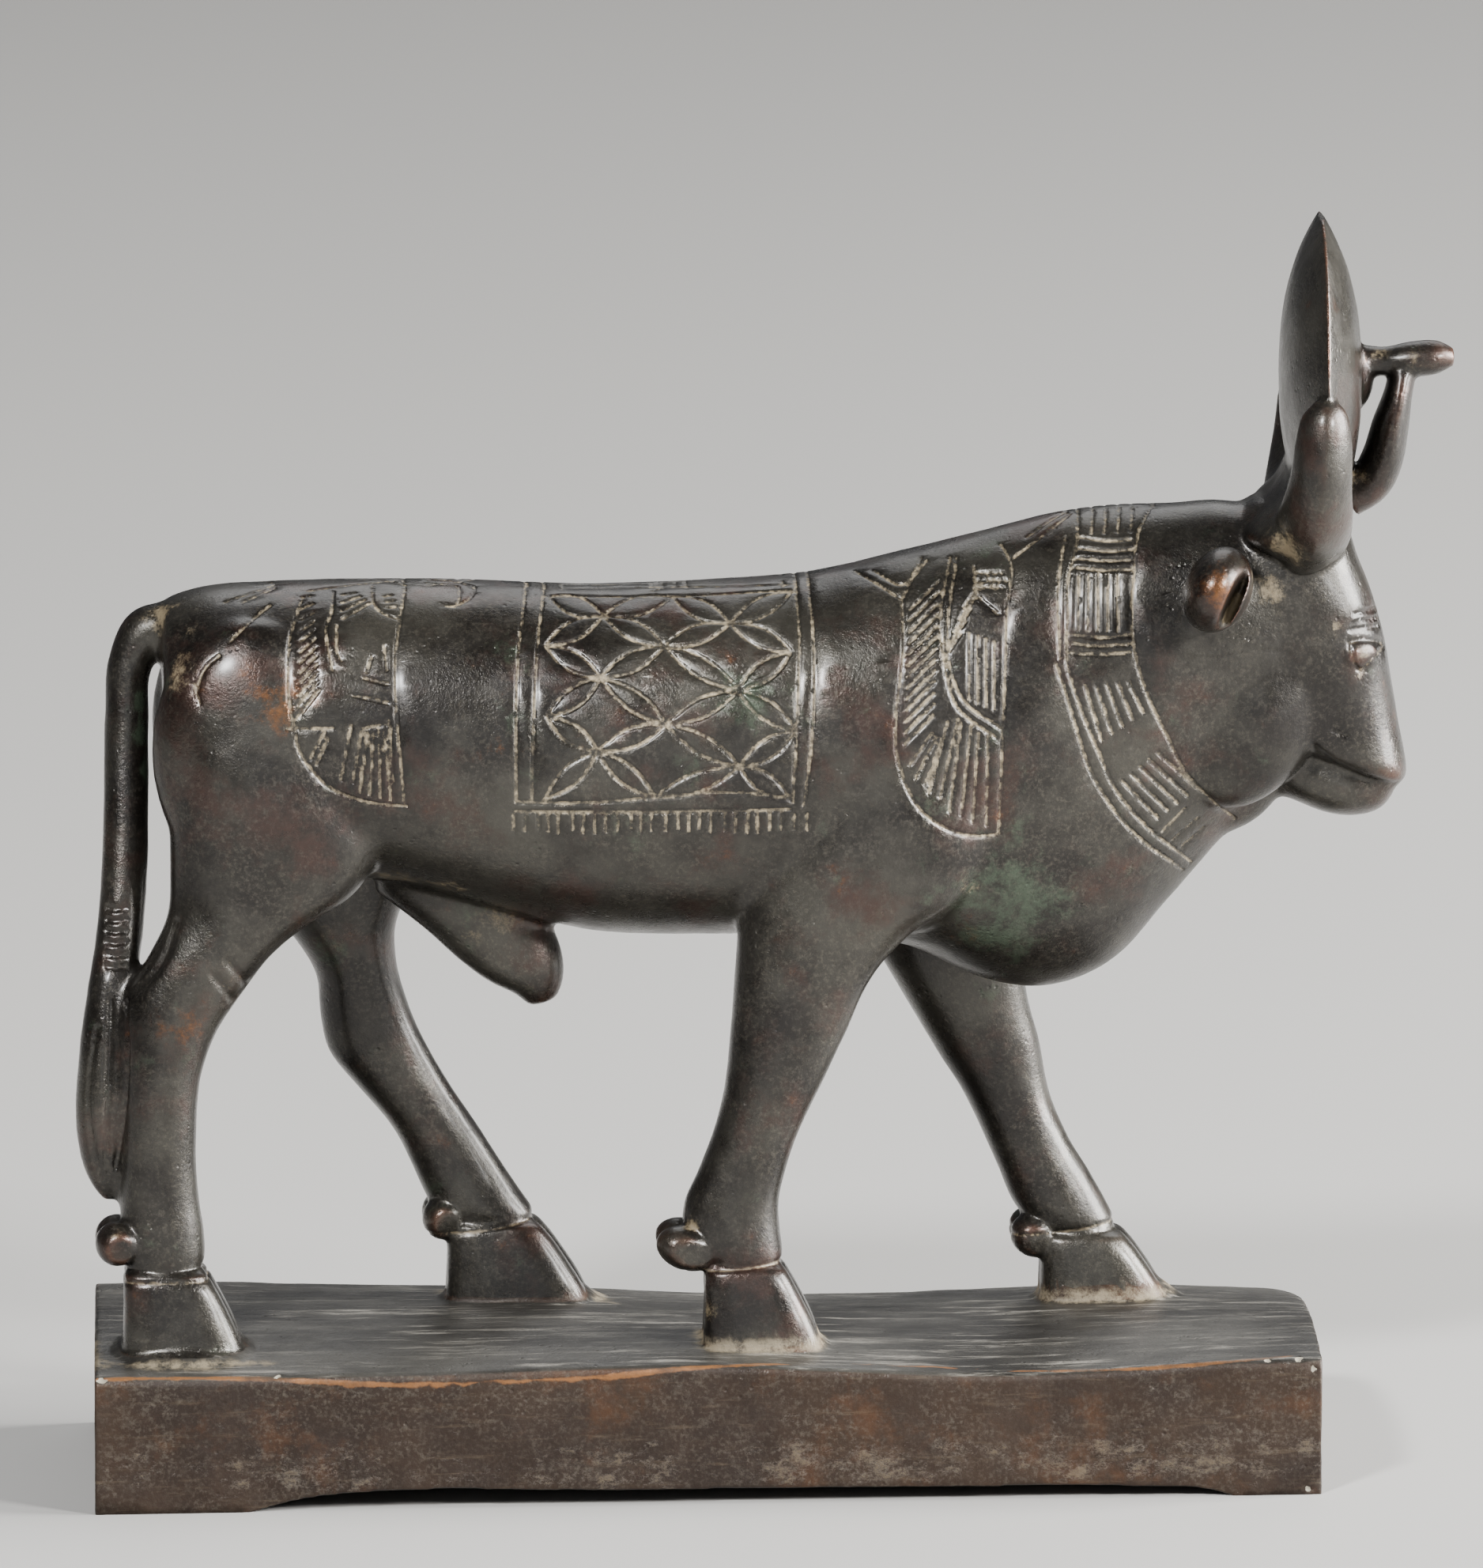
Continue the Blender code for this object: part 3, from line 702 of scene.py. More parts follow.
# Engraving, as polylines in pixels of the photograph.
engraving = {
    "step": 1.6,  # pixels between samples along a line
    "reach": 1.3,  # mm, as far as the distance to a line is kept
    "overTheBack": ((667, 737), (688, 737), (1005, 728), (1021, 726), (1363, 648), (1458, 637), (510, 736)),
    # half width and depth in mm of each kind of groove
    "line": (0.32, 0.2),
    "leg": (0.5, 0.3),
    "lid": (0.42, 0.28),
    "eye": (0.34, 0.24),
    "knee": (0.7, 0.26),
    "mouth": (0.9, 0.15),
    "scratch": (0.25, 0.08),
    "hock": (0.9, 0.3),
    "coronet": (0.4, 0.16),
}

blanket = {
    "edges": (
        ((665, 737), (655, 841), (653, 920), (653, 1015)),
        ((688, 737), (679, 833), (675, 916), (673, 1010)),
        ((1005, 727), (1011, 810), (1009, 897), (1003, 1015)),
        ((1021, 725), (1030, 826), (1027, 936), (1017, 1019)),
        ((694, 754), (845, 754), (1001, 746)),
        ((712, 744), (860, 742), (999, 739)),
        ((653, 1015), (758, 1015), (805, 1011), (955, 1004), (999, 1010)),
        ((653, 1027), (830, 1027), (999, 1024)),
    ),
    "nodes": (
        ((694, 754), (850, 754), (1001, 748)),
        ((763, 778), (924, 788)),
        ((690, 816), (841, 816), (1001, 824)),
        ((760, 857), (934, 873)),
        ((692, 907), (843, 916), (1007, 924)),
        ((756, 950), (936, 970)),
        ((690, 1010), (828, 1009), (999, 1010)),
    ),
    "bow": 12,
    "fringe": {"from": 649, "to": 1019, "count": 26, "top": 1029, "bottom": 1051},
    "ticks": (710, 823, 830, 837, 853, 866, 989),
}

frontWing = {
    "lines": (
        ((1266, 689), (1278, 711), (1274, 770), (1272, 841), (1268, 932), (1264, 1053)),
        ((1141, 762), (1143, 810), (1139, 857), (1133, 913), (1135, 956), (1147, 996), (1163, 1023),
         (1195, 1047), (1226, 1057), (1264, 1056)),
        ((1143, 754), (1165, 705)),
        ((1080, 721), (1104, 735), (1141, 758)),
        ((1104, 721), (1141, 739), (1172, 709)),
        ((1201, 705), (1189, 794), (1195, 841), (1210, 893), (1264, 936)),
        ((1210, 705), (1199, 794), (1201, 841), (1218, 885), (1264, 920)),
        ((1232, 715), (1236, 750), (1262, 776)),
        ((1282, 705), (1315, 680), (1353, 650)),
        ((1299, 679), (1325, 660), (1349, 646)),
    ),
    "fanStarts": ((1179, 928), (1185, 932), (1193, 932), (1199, 913), (1212, 909), (1216, 915),
                  (1228, 920), (1238, 928), (1250, 932)),
    "fanEnds": ((1151, 968), (1159, 984), (1171, 992), (1175, 1003), (1189, 1009), (1201, 1027),
                (1216, 1031), (1230, 1039), (1248, 1043)),
    "outer": {"top": (1187, 735), "bottom": (1181, 905), "drop": (-36, 36), "count": 13},
    "inner": {"top": (1240, 738), "bottom": (1216, 800), "drop": (-20, 30), "count": 5},
    "long": {"top": (1226, 800), "bottom": (1258, 812), "drop": (0, 85), "count": 4},
    "scales": {"centre": (1250, 735), "rows": 3, "across": 4, "gap": 9},
}

collar = {
    "lines": (
        ((1363, 648), (1363, 679), (1351, 735), (1351, 778), (1349, 830), (1365, 889), (1392, 956),
         (1412, 1000), (1444, 1039), (1507, 1090)),
        ((1337, 841), (1357, 905), (1380, 976), (1408, 1023), (1436, 1055), (1497, 1100)),
        ((1458, 636), (1442, 667), (1434, 735), (1432, 778), (1436, 826), (1456, 889), (1479, 936),
         (1499, 976), (1531, 1011), (1562, 1035)),
        ((1347, 679), (1339, 739), (1341, 833)),
        ((1367, 679), (1400, 684), (1430, 682)),
        ((1366, 693), (1400, 697), (1430, 695)),
        ((1364, 706), (1400, 709), (1430, 708)),
        ((1362, 718), (1400, 721), (1430, 720)),
        ((1357, 803), (1395, 806), (1428, 803)),
        ((1357, 814), (1395, 817), (1428, 814)),
        ((1357, 826), (1395, 828), (1428, 825)),
        ((1471, 1051), (1499, 1023)),
        ((1483, 1063), (1515, 1035)),
        ((1495, 1071), (1523, 1047)),
    ),
    # rows of strokes along the band: first start and end, last start and end, count
    "combs": (
        ((1382, 644), (1380, 674), (1432, 640), (1430, 672), 4),
        ((1365, 727), (1364, 796), (1414, 726), (1414, 798), 5),
        ((1373, 867), (1394, 936), (1428, 861), (1446, 901), 5),
        ((1420, 988), (1465, 1035), (1465, 952), (1515, 997), 5),
    ),
}

rearWing = {
    "lines": (
        ((382, 754), (376, 775), (367, 807), (365, 837), (365, 875), (370, 912), (380, 952), (395, 975),
         (415, 995), (440, 1007), (472, 1016), (514, 1020)),
        ((512, 739), (506, 782), (501, 820), (500, 862), (502, 912), (506, 957), (511, 1015)),
        ((421, 747), (419, 775), (412, 795), (414, 812), (421, 847)),
        ((426, 790), (427, 825), (432, 835)),
        ((471, 741), (472, 762), (482, 774), (502, 782)),
        ((390, 747), (440, 740), (490, 735), (512, 732)),
        ((535, 736), (565, 739), (580, 742), (581, 750), (575, 766), (565, 766)),
        ((540, 732), (585, 737), (600, 742), (595, 755), (575, 767)),
        ((284, 761), (347, 739)),
        ((306, 761), (347, 743)),
        ((290, 812), (315, 787), (342, 765)),
        ((250, 872), (252, 860), (262, 842), (277, 829)),
        ((246, 865), (249, 882), (252, 890)),
        ((362, 921), (390, 922), (420, 921)),
        ((457, 922), (487, 916)),
        ((447, 879), (491, 889)),
        ((460, 857), (490, 865)),
        ((410, 927), (392, 960)),
        ((415, 935), (400, 967)),
        ((444, 917), (431, 987)),
        ((457, 925), (446, 990)),
        ((492, 912), (497, 990)),
        ((470, 830), (464, 850)),
        ((486, 817), (489, 847)),
    ),
    "combs": (
        ((381, 756), (395, 752), (377, 907), (403, 873), 12),
        ((465, 927), (455, 1002), (486, 925), (494, 1012), 4),
        ((432, 752), (450, 749), (433, 782), (467, 763), 4),
        ((486, 754), (496, 752), (490, 768), (500, 767), 3),
    ),
}

marks = {
    "neckScratch": ((1499, 820), (1539, 826), (1566, 822), (1634, 826)),
    "muzzle": ((1686, 924), (1693, 927), (1703, 930)),
    "rim": ((122, 1744), (300, 1743), (520, 1752), (760, 1742), (900, 1728), (1100, 1726), (1330, 1734),
            (1480, 1728), (1640, 1714)),
    "mouth": ((1659, 943), (1690, 966), (1724, 984), (1762, 991)),
    "lids": (
        ((1714, 777), (1728, 773), (1743, 770)),
        ((1711, 789), (1728, 784), (1745, 781)),
        ((1708, 797), (1728, 794), (1747, 790)),
    ),
    "eye": ((1706, 812), (1728, 809), (1750, 816), (1738, 832), (1719, 848), (1710, 828), (1706, 812)),
    "knee": (((270, 1234), (282, 1248), (294, 1264)), ((288, 1216), (300, 1230), (313, 1246))),
    "tailRings": (1148, 1163, 1177, 1191, 1207, 1222),
    "hock": ((222, 1168), (210, 1206), (192, 1234), (168, 1258)),
    "tuft": (
        ((140, 1262), (138, 1330), (136, 1400), (133, 1480)),
        ((160, 1268), (161, 1330), (158, 1400), (146, 1478)),
        ((122, 1300), (112, 1380), (116, 1440), (128, 1490)),
    ),
}


def curveThrough(points, steps=8):
    return [tuple(row) for row in smoothRows(points, steps)] if len(points) > 2 else list(points)


def arc(start, end, bow):
    start, end = Vector(start), Vector(end)
    side = (end - start).orthogonal().normalized()
    return [
        tuple(start.lerp(end, t / 12) + side * bow * math.sin(math.pi * t / 12)) for t in range(13)
    ]


def comb(firstStart, firstEnd, lastStart, lastEnd, count):
    # strokes in even steps from the first to the last
    strokes = []
    for i in range(count):
        t = i / (count - 1)
        strokes.append((tuple(Vector(firstStart).lerp(Vector(lastStart), t)),
                        tuple(Vector(firstEnd).lerp(Vector(lastEnd), t))))
    return strokes


def shifted(point, drop):
    return point[0] + drop[0], point[1] + drop[1]


def fallingStrokes(spec):
    return comb(spec["top"], shifted(spec["top"], spec["drop"]),
                spec["bottom"], shifted(spec["bottom"], spec["drop"]), spec["count"])


def engravedLines():
    rng = random.Random(5)
    lines = [curveThrough(line) for line in blanket["edges"]]
    rows = blanket["nodes"]
    for k in range(1, len(rows), 2):
        for i, node in enumerate(rows[k]):
            for far in (rows[k - 1][i], rows[k - 1][i + 1], rows[k + 1][i], rows[k + 1][i + 1]):
                lines += [arc(node, far, blanket["bow"]), arc(node, far, -blanket["bow"])]
    fringe = blanket["fringe"]
    for i in range(fringe["count"]):
        x = fringe["from"] + (fringe["to"] - fringe["from"]) * i / (fringe["count"] - 1) + rng.uniform(-2, 2)
        upper = (x, fringe["top"] + rng.uniform(-1, 2))
        lines.append((upper, (x + rng.uniform(-1, 1), fringe["bottom"] + rng.uniform(-3, 3))))
    lines += [((x, 734), (x + 1, 741)) for x in blanket["ticks"]]
    lines += [curveThrough(line) for line in frontWing["lines"]]
    lines += list(zip(frontWing["fanStarts"], frontWing["fanEnds"]))
    for name in ("outer", "inner", "long"):
        lines += fallingStrokes(frontWing[name])
    scales = frontWing["scales"]
    for row in range(scales["rows"]):
        for i in range(scales["across"]):
            x = scales["centre"][0] + (i - 1.5 + 0.5 * (row % 2)) * scales["gap"]
            y = scales["centre"][1] + (row - 1) * scales["gap"]
            lines.append(arc((x - 4, y), (x + 4, y), -3))
    lines += [curveThrough(line) for line in collar["lines"]]
    lines += [curveThrough(line) for line in rearWing["lines"]]
    for spec in collar["combs"] + rearWing["combs"]:
        lines += comb(*spec)
    return lines


def samplesAlong(line, step):
    points = []
    for a, b in zip(line, line[1:]):
        a, b = Vector(a), Vector(b)
        count = max(1, int((b - a).length / step))
        points += [a.lerp(b, i / count) for i in range(count)]
    points.append(Vector(line[-1]))
    return points


def cutPoints(surface, lines, mirrored=True):
    found = []
    for line in lines:
        for sample in samplesAlong(line, engraving["step"]):
            place = sightOn(surface, sample[0], sample[1])
            if place is None:
                continue
            found.append(place)
            if mirrored:
                other = surface.find_nearest(Vector((place.x, -place.y, place.z)))[0]
                found.append(other)
    return found


def overTheBack(surface, pixels):
    # the border lines run on over the spine from one side to the other
    found = []
    for px, py in pixels:
        start = sightOn(surface, px, py)
        if start is None:
            continue
        for i in range(81):
            y = start.y * (1 - 2 * i / 80)
            hit = surface.ray_cast(Vector((start.x, y, 0.2)), Vector((0, 0, -1)))[0]
            if hit is not None:
                found.append(hit)
    return found


def ringAround(surface, centre, radius, tilt):
    # a level ring of points round a leg, tilted up towards the front
    found = []
    for i in range(140):
        angle = math.tau * i / 140
        way = Vector((math.cos(angle), math.sin(angle), 0))
        start = (Vector(centre) + way * radius) * mm
        start.z += math.cos(angle) * tilt * mm
        hit = surface.ray_cast(start, -way, radius * mm)[0]
        if hit is not None:
            found.append(hit)
    return found


def nearLines(points, marksOnSurface, reach):
    # distance in mm from each point to the nearest mark, up to reach; a cell grid skips the rest
    far = np.full(len(points), reach)
    if not marksOnSurface:
        return far
    cell = reach * mm
    origin = points.min(0) - 4 * cell
    span = np.array([4096, 4096 * 4096, 1])

    def keys(values):
        return (np.floor((values - origin) / cell).astype(np.int64) * span).sum(1)

    markArray = np.array([tuple(p) for p in marksOnSurface])
    offsets = np.array([(x, y, z) for x in (-1, 0, 1) for y in (-1, 0, 1) for z in (-1, 0, 1)]) * cell
    wanted = np.unique(np.concatenate([keys(markArray + offset) for offset in offsets]))
    candidates = np.nonzero(np.isin(keys(points), wanted))[0]
    tree = KDTree(len(markArray))
    for i, place in enumerate(marksOnSurface):
        tree.insert(place, i)
    tree.balance()
    for i in candidates:
        far[i] = min(reach, tree.find(points[i])[2] / mm)
    return far


hoofRings = {
    # how far behind the hoof's middle a ring is centred, and its radius
    "coronet": (6.5, 9.0),
    "sole": (6.0, 10.5),
    # rise of the coronet towards the front, and height of the plinth's top there
    "hooves": {
        "nearHind": (0.0, 13.7),
        "nearFore": (0.3, 14.3),
        "farHind": (0.6, 13.9),
        "farFore": (0.5, 14.0),
    },
}


def tailRings():
    return [((135, y), (146, y + 2), (158, y)) for y in marks["tailRings"]]


def easeDown(distance, half):
    # 1 on the line, 0 from half a width away
    t = np.clip(distance / half, 0, 1)
    return 1 - t * t * (3 - 2 * t)


print("engraving")
surface = treeOf(bull)
cuts = {
    "line": cutPoints(surface, engravedLines()) + overTheBack(surface, engraving["overTheBack"]),
    "leg": cutPoints(surface, [curveThrough(line) for line in marks["tuft"]] + tailRings(), mirrored=False),
    "lid": cutPoints(surface, [curveThrough(line) for line in marks["lids"]] + [marks["muzzle"]]),
    "eye": cutPoints(surface, [curveThrough(marks["eye"], 6)]),
    "knee": cutPoints(surface, marks["knee"], mirrored=False),
    "mouth": cutPoints(surface, [curveThrough(marks["mouth"])]),
    "scratch": cutPoints(surface, [curveThrough(marks["neckScratch"])], mirrored=False),
    "hock": cutPoints(surface, [curveThrough(marks["hock"])], mirrored=False),
    "coronet": [],
}
rimPoints = cutPoints(surface, [curveThrough(marks["rim"])], mirrored=False)
solePoints = []
for name, (tilt, ground) in hoofRings["hooves"].items():
    top, back, front, y, toe = feet[name]
    behind, radius = hoofRings["coronet"]
    cuts["coronet"] += ringAround(surface, ((back + front) / 2 - behind, y, top), radius, tilt)
    behind, radius = hoofRings["sole"]
    solePoints += ringAround(surface, ((back + front + toe) / 2 - behind, y, ground), radius, 0.0)


def cutGrooves(item):
    points, normals = readSkin(item)
    depth = np.zeros(len(points))
    for kind, group in cuts.items():
        half, deep = engraving[kind]
        distance = nearLines(points, group, engraving["reach"])
        depth = np.maximum(depth, deep * easeDown(distance, half))
    writePoints(item.data, points - normals * depth[:, None] * mm)
    return depth > 0


# Skin of the casting: slight waves, a crust along the plinth's front and a few chips.
skin = {
    "wave": 0.05,
    "waveScale": 3.5,
    "crust": 0.22,
    "crustScale": 1.3,
    "crustHeight": 4.2,
    # photo pixel, half width and half height in mm of a chip
    "chips": (
        (129, 1746, 0.5, 0.3), (351, 1741, 0.35, 0.25), (1603, 1721, 0.35, 0.2), (1642, 1719, 0.55, 0.22),
        (1662, 1730, 0.2, 0.4), (1654, 1883, 0.4, 0.2),
    ),
    "chipGrain": 0.3,
    "chipMove": (0.0, 0.3, -0.12),
    "softening": 40,
}


def unevenSkin(item):
    points, normals = readSkin(item)
    front = points[:, 1] < cadBox[0][1] + 0.9 * mm
    height = skin["crustHeight"]
    for i, (x, y, z) in enumerate(points / mm):
        spot = Vector((x, y, z))
        move = skin["wave"] * noise.noise(spot / skin["waveScale"])
        if front[i] and z < 2 * height:
            rough = noise.turbulence(spot / skin["crustScale"], 3, False)
            band = max(0.0, 1 - abs(z - height) / height)
            patch = max(0.0, noise.noise(Vector((x / 14, 3.1, z / 9))) + 0.25)
            move -= skin["crust"] * rough * band * patch
        points[i] += normals[i] * move * mm
    writePoints(item.data, points)


def chipEdges(item):
    tree = treeOf(item)
    points = readPoints(item.data)
    chipped = np.zeros(len(points))
    for px, py, halfWidth, halfHeight in skin["chips"]:
        centre = sightOn(tree, px, py)
        if centre is None:
            continue
        away = (points - np.array(centre)) / mm
        distance = np.linalg.norm(away / (halfWidth, halfWidth, halfHeight), axis=1)
        for i in np.nonzero(distance < 1.6)[0]:
            ragged = distance[i] + 0.7 * noise.noise(Vector(points[i]) / (skin["chipGrain"] * mm))
            share = max(0.0, 1 - ragged)
            points[i] += np.array(skin["chipMove"]) * mm * min(1.0, 2 * share)
            chipped[i] = max(chipped[i], min(1.0, 3 * share))
    writePoints(item.data, points)
    return chipped


def reliefOf(item):
    # how far each point stands above (+) or below (-) a much softened copy
    soft = item.copy()
    soft.data = item.data.copy()
    scene.collection.objects.link(soft)
    addSmooth(soft, skin["softening"])
    softened = readPoints(applied(soft).data)
    points, normals = readSkin(item)
    bpy.data.objects.remove(soft, do_unlink=True)
    return ((points - softened) * normals).sum(1) / mm


def carried(values, fromPoints, toPoints):
    # values of the nearest of the first points
    tree = KDTree(len(fromPoints))
    for i, point in enumerate(fromPoints):
        tree.insert(point, i)
    tree.balance()
    return values[[tree.find(point)[1] for point in toPoints]]


print("skin and grooves")
relief = reliefOf(bull)
unevenSkin(bull)
chipped = chipEdges(bull)
inGroove = cutGrooves(bull)
print("grooves cut, faces", len(bull.data.polygons))
densePoints = readPoints(bull.data)


def thinned(item, keep, triangles):
    # the grooves keep a little more of their points, so that their lines stay whole
    group = item.vertex_groups.new(name="thin")
    group.add(np.nonzero(~keep)[0].tolist(), 1.0, "REPLACE")
    group.add(np.nonzero(keep)[0].tolist(), 0.5, "REPLACE")
    thin = item.modifiers.new("Thin", "DECIMATE")
    thin.ratio = triangles / (2 * len(item.data.polygons))
    thin.vertex_group = "thin"
    thin.vertex_group_factor = casting["keepGrooves"]
    applied(item)
    item.vertex_groups.clear()


def trimmed(item, longest):
    # a flat foot, no slivers, and no edge so long that the masks would smear
    bm = bmesh.new()
    bm.from_mesh(item.data)
    everything = bm.verts[:] + bm.edges[:] + bm.faces[:]
    bmesh.ops.bisect_plane(bm, geom=everything, plane_co=(0, 0, 0), plane_no=(0, 0, -1), clear_outer=True)
    bmesh.ops.holes_fill(bm, edges=[edge for edge in bm.edges if edge.is_boundary], sides=0)
    bmesh.ops.remove_doubles(bm, verts=bm.verts[:], dist=casting["doubles"] * mm)
    bmesh.ops.triangulate(bm, faces=bm.faces[:])
    for _ in range(3):
        wide = [
            edge for edge in bm.edges
            if edge.calc_length() > longest * mm
            and max(vert.co.z for vert in edge.verts) > casting["flatBelow"] * mm
        ]
        bmesh.ops.subdivide_edges(bm, edges=wide, cuts=1)
        bmesh.ops.triangulate(bm, faces=[face for face in bm.faces if len(face.verts) > 3])
    bmesh.ops.recalc_face_normals(bm, faces=bm.faces[:])
    bm.to_mesh(item.data)
    bm.free()


def insideBox(item):
    low, high = cadBox
    writePoints(item.data, np.clip(readPoints(item.data), np.array(low), np.array(high)))


thinned(bull, inGroove, casting["triangles"])
print("decimated to", len(bull.data.polygons))
trimmed(bull, casting["longestEdge"])
insideBox(bull)
print("thinned to", len(bull.data.polygons), "triangles")


# Masks for the patina, kept as attributes of the mesh.
def writeMask(mesh, name, values):
    layer = mesh.attributes.new(name, "FLOAT", "POINT")
    layer.data.foreach_set("value", np.asarray(values, np.float32))


def shelterOf(item, rays=12, reach=7.0):
    # share of short rays that hit the casting again
    tree = treeOf(item)
    points, normals = readSkin(item)
    ways = []
    for i in range(rays):
        z = 1 - (i + 0.5) / rays * 0.85
        ring = math.sqrt(1 - z * z)
        angle = i * math.pi * (3 - math.sqrt(5))
        ways.append(Vector((ring * math.cos(angle), ring * math.sin(angle), z)))
    hidden = np.zeros(len(points))
    for i in range(len(points)):
        normal = Vector(normals[i])
        start = Vector(points[i]) + normal * 0.12 * mm
        turn = normal.to_track_quat("Z", "Y").to_matrix()
        for way in ways:
            if tree.ray_cast(start, turn @ way, reach * mm)[0] is not None:
                hidden[i] += 1
    return hidden / rays


def spotMask(tree, points, spots):
    mask = np.zeros(len(points))
    for px, py, size, strength in spots:
        centre = sightOn(tree, px, py)
        if centre is None:
            continue
        distance = np.linalg.norm(points - np.array(centre), axis=1) / mm
        mask = np.maximum(mask, strength * np.exp(-((distance / size) ** 2)))
    return mask


spots = {
    # photo pixel, size in mm, strength
    "tan": (
        (226, 850, 2.4, 1.2), (205, 778, 2.4, 1.2), (236, 800, 1.6, 0.9), (1630, 692, 3.0, 1.3),
        (1605, 745, 2.0, 1.1), (1584, 725, 0.8, 1.2), (1566, 757, 1.2, 1.3), (1550, 780, 1.0, 1.2),
        (1691, 796, 1.0, 1.2), (1728, 826, 0.9, 1.1), (1722, 852, 0.8, 0.9), (1790, 452, 1.6, 0.8),
        (1745, 450, 1.4, 1.1), (1722, 610, 1.6, 1.0), (1590, 610, 2.6, 0.9), (1540, 690, 2.4, 0.6),
        (500, 1110, 3.2, 1.1), (640, 1160, 3.4, 0.9), (565, 1120, 3.0, 1.0), (600, 1180, 2.0, 0.9),
        (875, 1550, 1.2, 1.0), (895, 1660, 1.8, 1.0), (150, 1560, 1.2, 0.9), (1225, 1120, 2.0, 0.9),
        (290, 1250, 1.4, 0.7), (420, 1190, 2.6, 0.7),
    ),
    "rust": ((350, 893, 2.6, 0.9), (385, 905, 2.0, 0.6), (230, 1300, 3.0, 0.5), (700, 930, 4.0, 0.35),
             (1180, 1180, 4.0, 0.35), (1545, 735, 3.0, 0.8), (860, 1480, 3.0, 0.5)),
    "green": ((940, 890, 3.4, 0.8), (985, 870, 2.4, 0.6), (1280, 1130, 6.0, 0.7), (1180, 1060, 4.0, 0.6),
              (180, 885, 1.1, 1.8), (180, 930, 1.1, 1.8), (184, 975, 1.1, 1.8), (720, 1180, 2.4, 0.7),
              (420, 1200, 2.4, 0.8), (1270, 1190, 4.0, 0.7), (780, 1060, 4.0, 0.35), (380, 1200, 2.0, 0.9),
              (560, 1130, 4.0, 0.6)),
}

print("patina masks")
finalPoints = readPoints(bull.data)
finalTree = treeOf(bull)
markPoints = cuts["leg"] + cuts["coronet"] + cuts["knee"] + cuts["eye"]
for name, group in (
    ("lineGap", cuts["line"]), ("markGap", markPoints), ("soleGap", solePoints), ("rimGap", rimPoints)
):
    writeMask(bull.data, name, nearLines(finalPoints, group, engraving["reach"]))
for name, values in (("relief", relief), ("chipped", chipped)):
    writeMask(bull.data, name, carried(values, densePoints, finalPoints))
writeMask(bull.data, "shelter", shelterOf(bull))
for name, group in spots.items():
    writeMask(bull.data, name, spotMask(finalTree, finalPoints, group))
print("masks done")


def newGroup(name, inputs, outputs):
    group = bpy.data.node_groups.new(name, "ShaderNodeTree")
    for label, kind, value in inputs:
        socket = group.interface.new_socket(label, in_out="INPUT", socket_type="NodeSocket" + kind)
        if value is not None:
            socket.default_value = value
    for label, kind in outputs:
        group.interface.new_socket(label, in_out="OUTPUT", socket_type="NodeSocket" + kind)
    return group, NodeWriter(group, group.nodes.new("NodeGroupInput"))


class NodeWriter:
    # short ways to add nodes to one tree
    def __init__(self, tree, into=None):
        self.tree = tree
        self.into = into

    def link(self, source, target):
        if isinstance(source, (int, float, tuple)):
            target.default_value = source
        else:
            self.tree.links.new(source, target)

    def math(self, operation, a, b=0.0, clamp=False):
        node = self.tree.nodes.new("ShaderNodeMath")
        node.operation = operation
        node.use_clamp = clamp
        self.link(a, node.inputs[0])
        self.link(b, node.inputs[1])
        return node.outputs[0]

    def times(self, a, b, clamp=False):
        return self.math("MULTIPLY", a, b, clamp)

    def plus(self, a, b, clamp=False):
        return self.math("ADD", a, b, clamp)

    def minus(self, a, b):
        return self.math("SUBTRACT", a, b)

    def larger(self, a, b):
        return self.math("MAXIMUM", a, b)

    def ramp(self, value, low, high, out0=0.0, out1=1.0):
        # smooth step from low to high
        node = self.tree.nodes.new("ShaderNodeMapRange")
        node.interpolation_type = "SMOOTHSTEP"
        self.link(value, node.inputs["Value"])
        self.link(low, node.inputs["From Min"])
        self.link(high, node.inputs["From Max"])
        node.inputs["To Min"].default_value = out0
        node.inputs["To Max"].default_value = out1
        return node.outputs[0]

    def mix(self, share, a, b):
        node = self.tree.nodes.new("ShaderNodeMix")
        node.data_type = "RGBA"
        self.link(share, node.inputs[0])
        self.link(a, node.inputs[6])
        self.link(b, node.inputs[7])
        return node.outputs[2]

    def noise(self, vector, scale, detail=3.0, roughness=0.55, stretch=None):
        if stretch:
            turn = self.tree.nodes.new("ShaderNodeMapping")
            turn.inputs["Scale"].default_value = stretch
            self.link(vector, turn.inputs["Vector"])
            vector = turn.outputs[0]
        node = self.tree.nodes.new("ShaderNodeTexNoise")
        self.link(vector, node.inputs["Vector"])
        self.link(scale, node.inputs["Scale"])
        node.inputs["Detail"].default_value = detail
        node.inputs["Roughness"].default_value = roughness
        return node.outputs["Fac"]

    def mask(self, name):
        node = self.tree.nodes.new("ShaderNodeAttribute")
        node.attribute_name = name
        return node.outputs["Fac"]

    def place(self):
        return self.tree.nodes.new("ShaderNodeTexCoord").outputs["Object"]

    def given(self, name):
        return self.into.outputs[name]

    def use(self, group, **inputs):
        node = self.tree.nodes.new("ShaderNodeGroup")
        node.node_tree = group
        for label, value in inputs.items():
            self.link(value, node.inputs[label])
        return node.outputs

    def send(self, **outputs):
        node = self.tree.nodes.new("NodeGroupOutput")
        for label, value in outputs.items():
            self.link(value, node.inputs[label])


skinTones = {"speckle": (0.13, 0.115, 0.09, 1), "dust": (0.1, 0.09, 0.07, 1)}


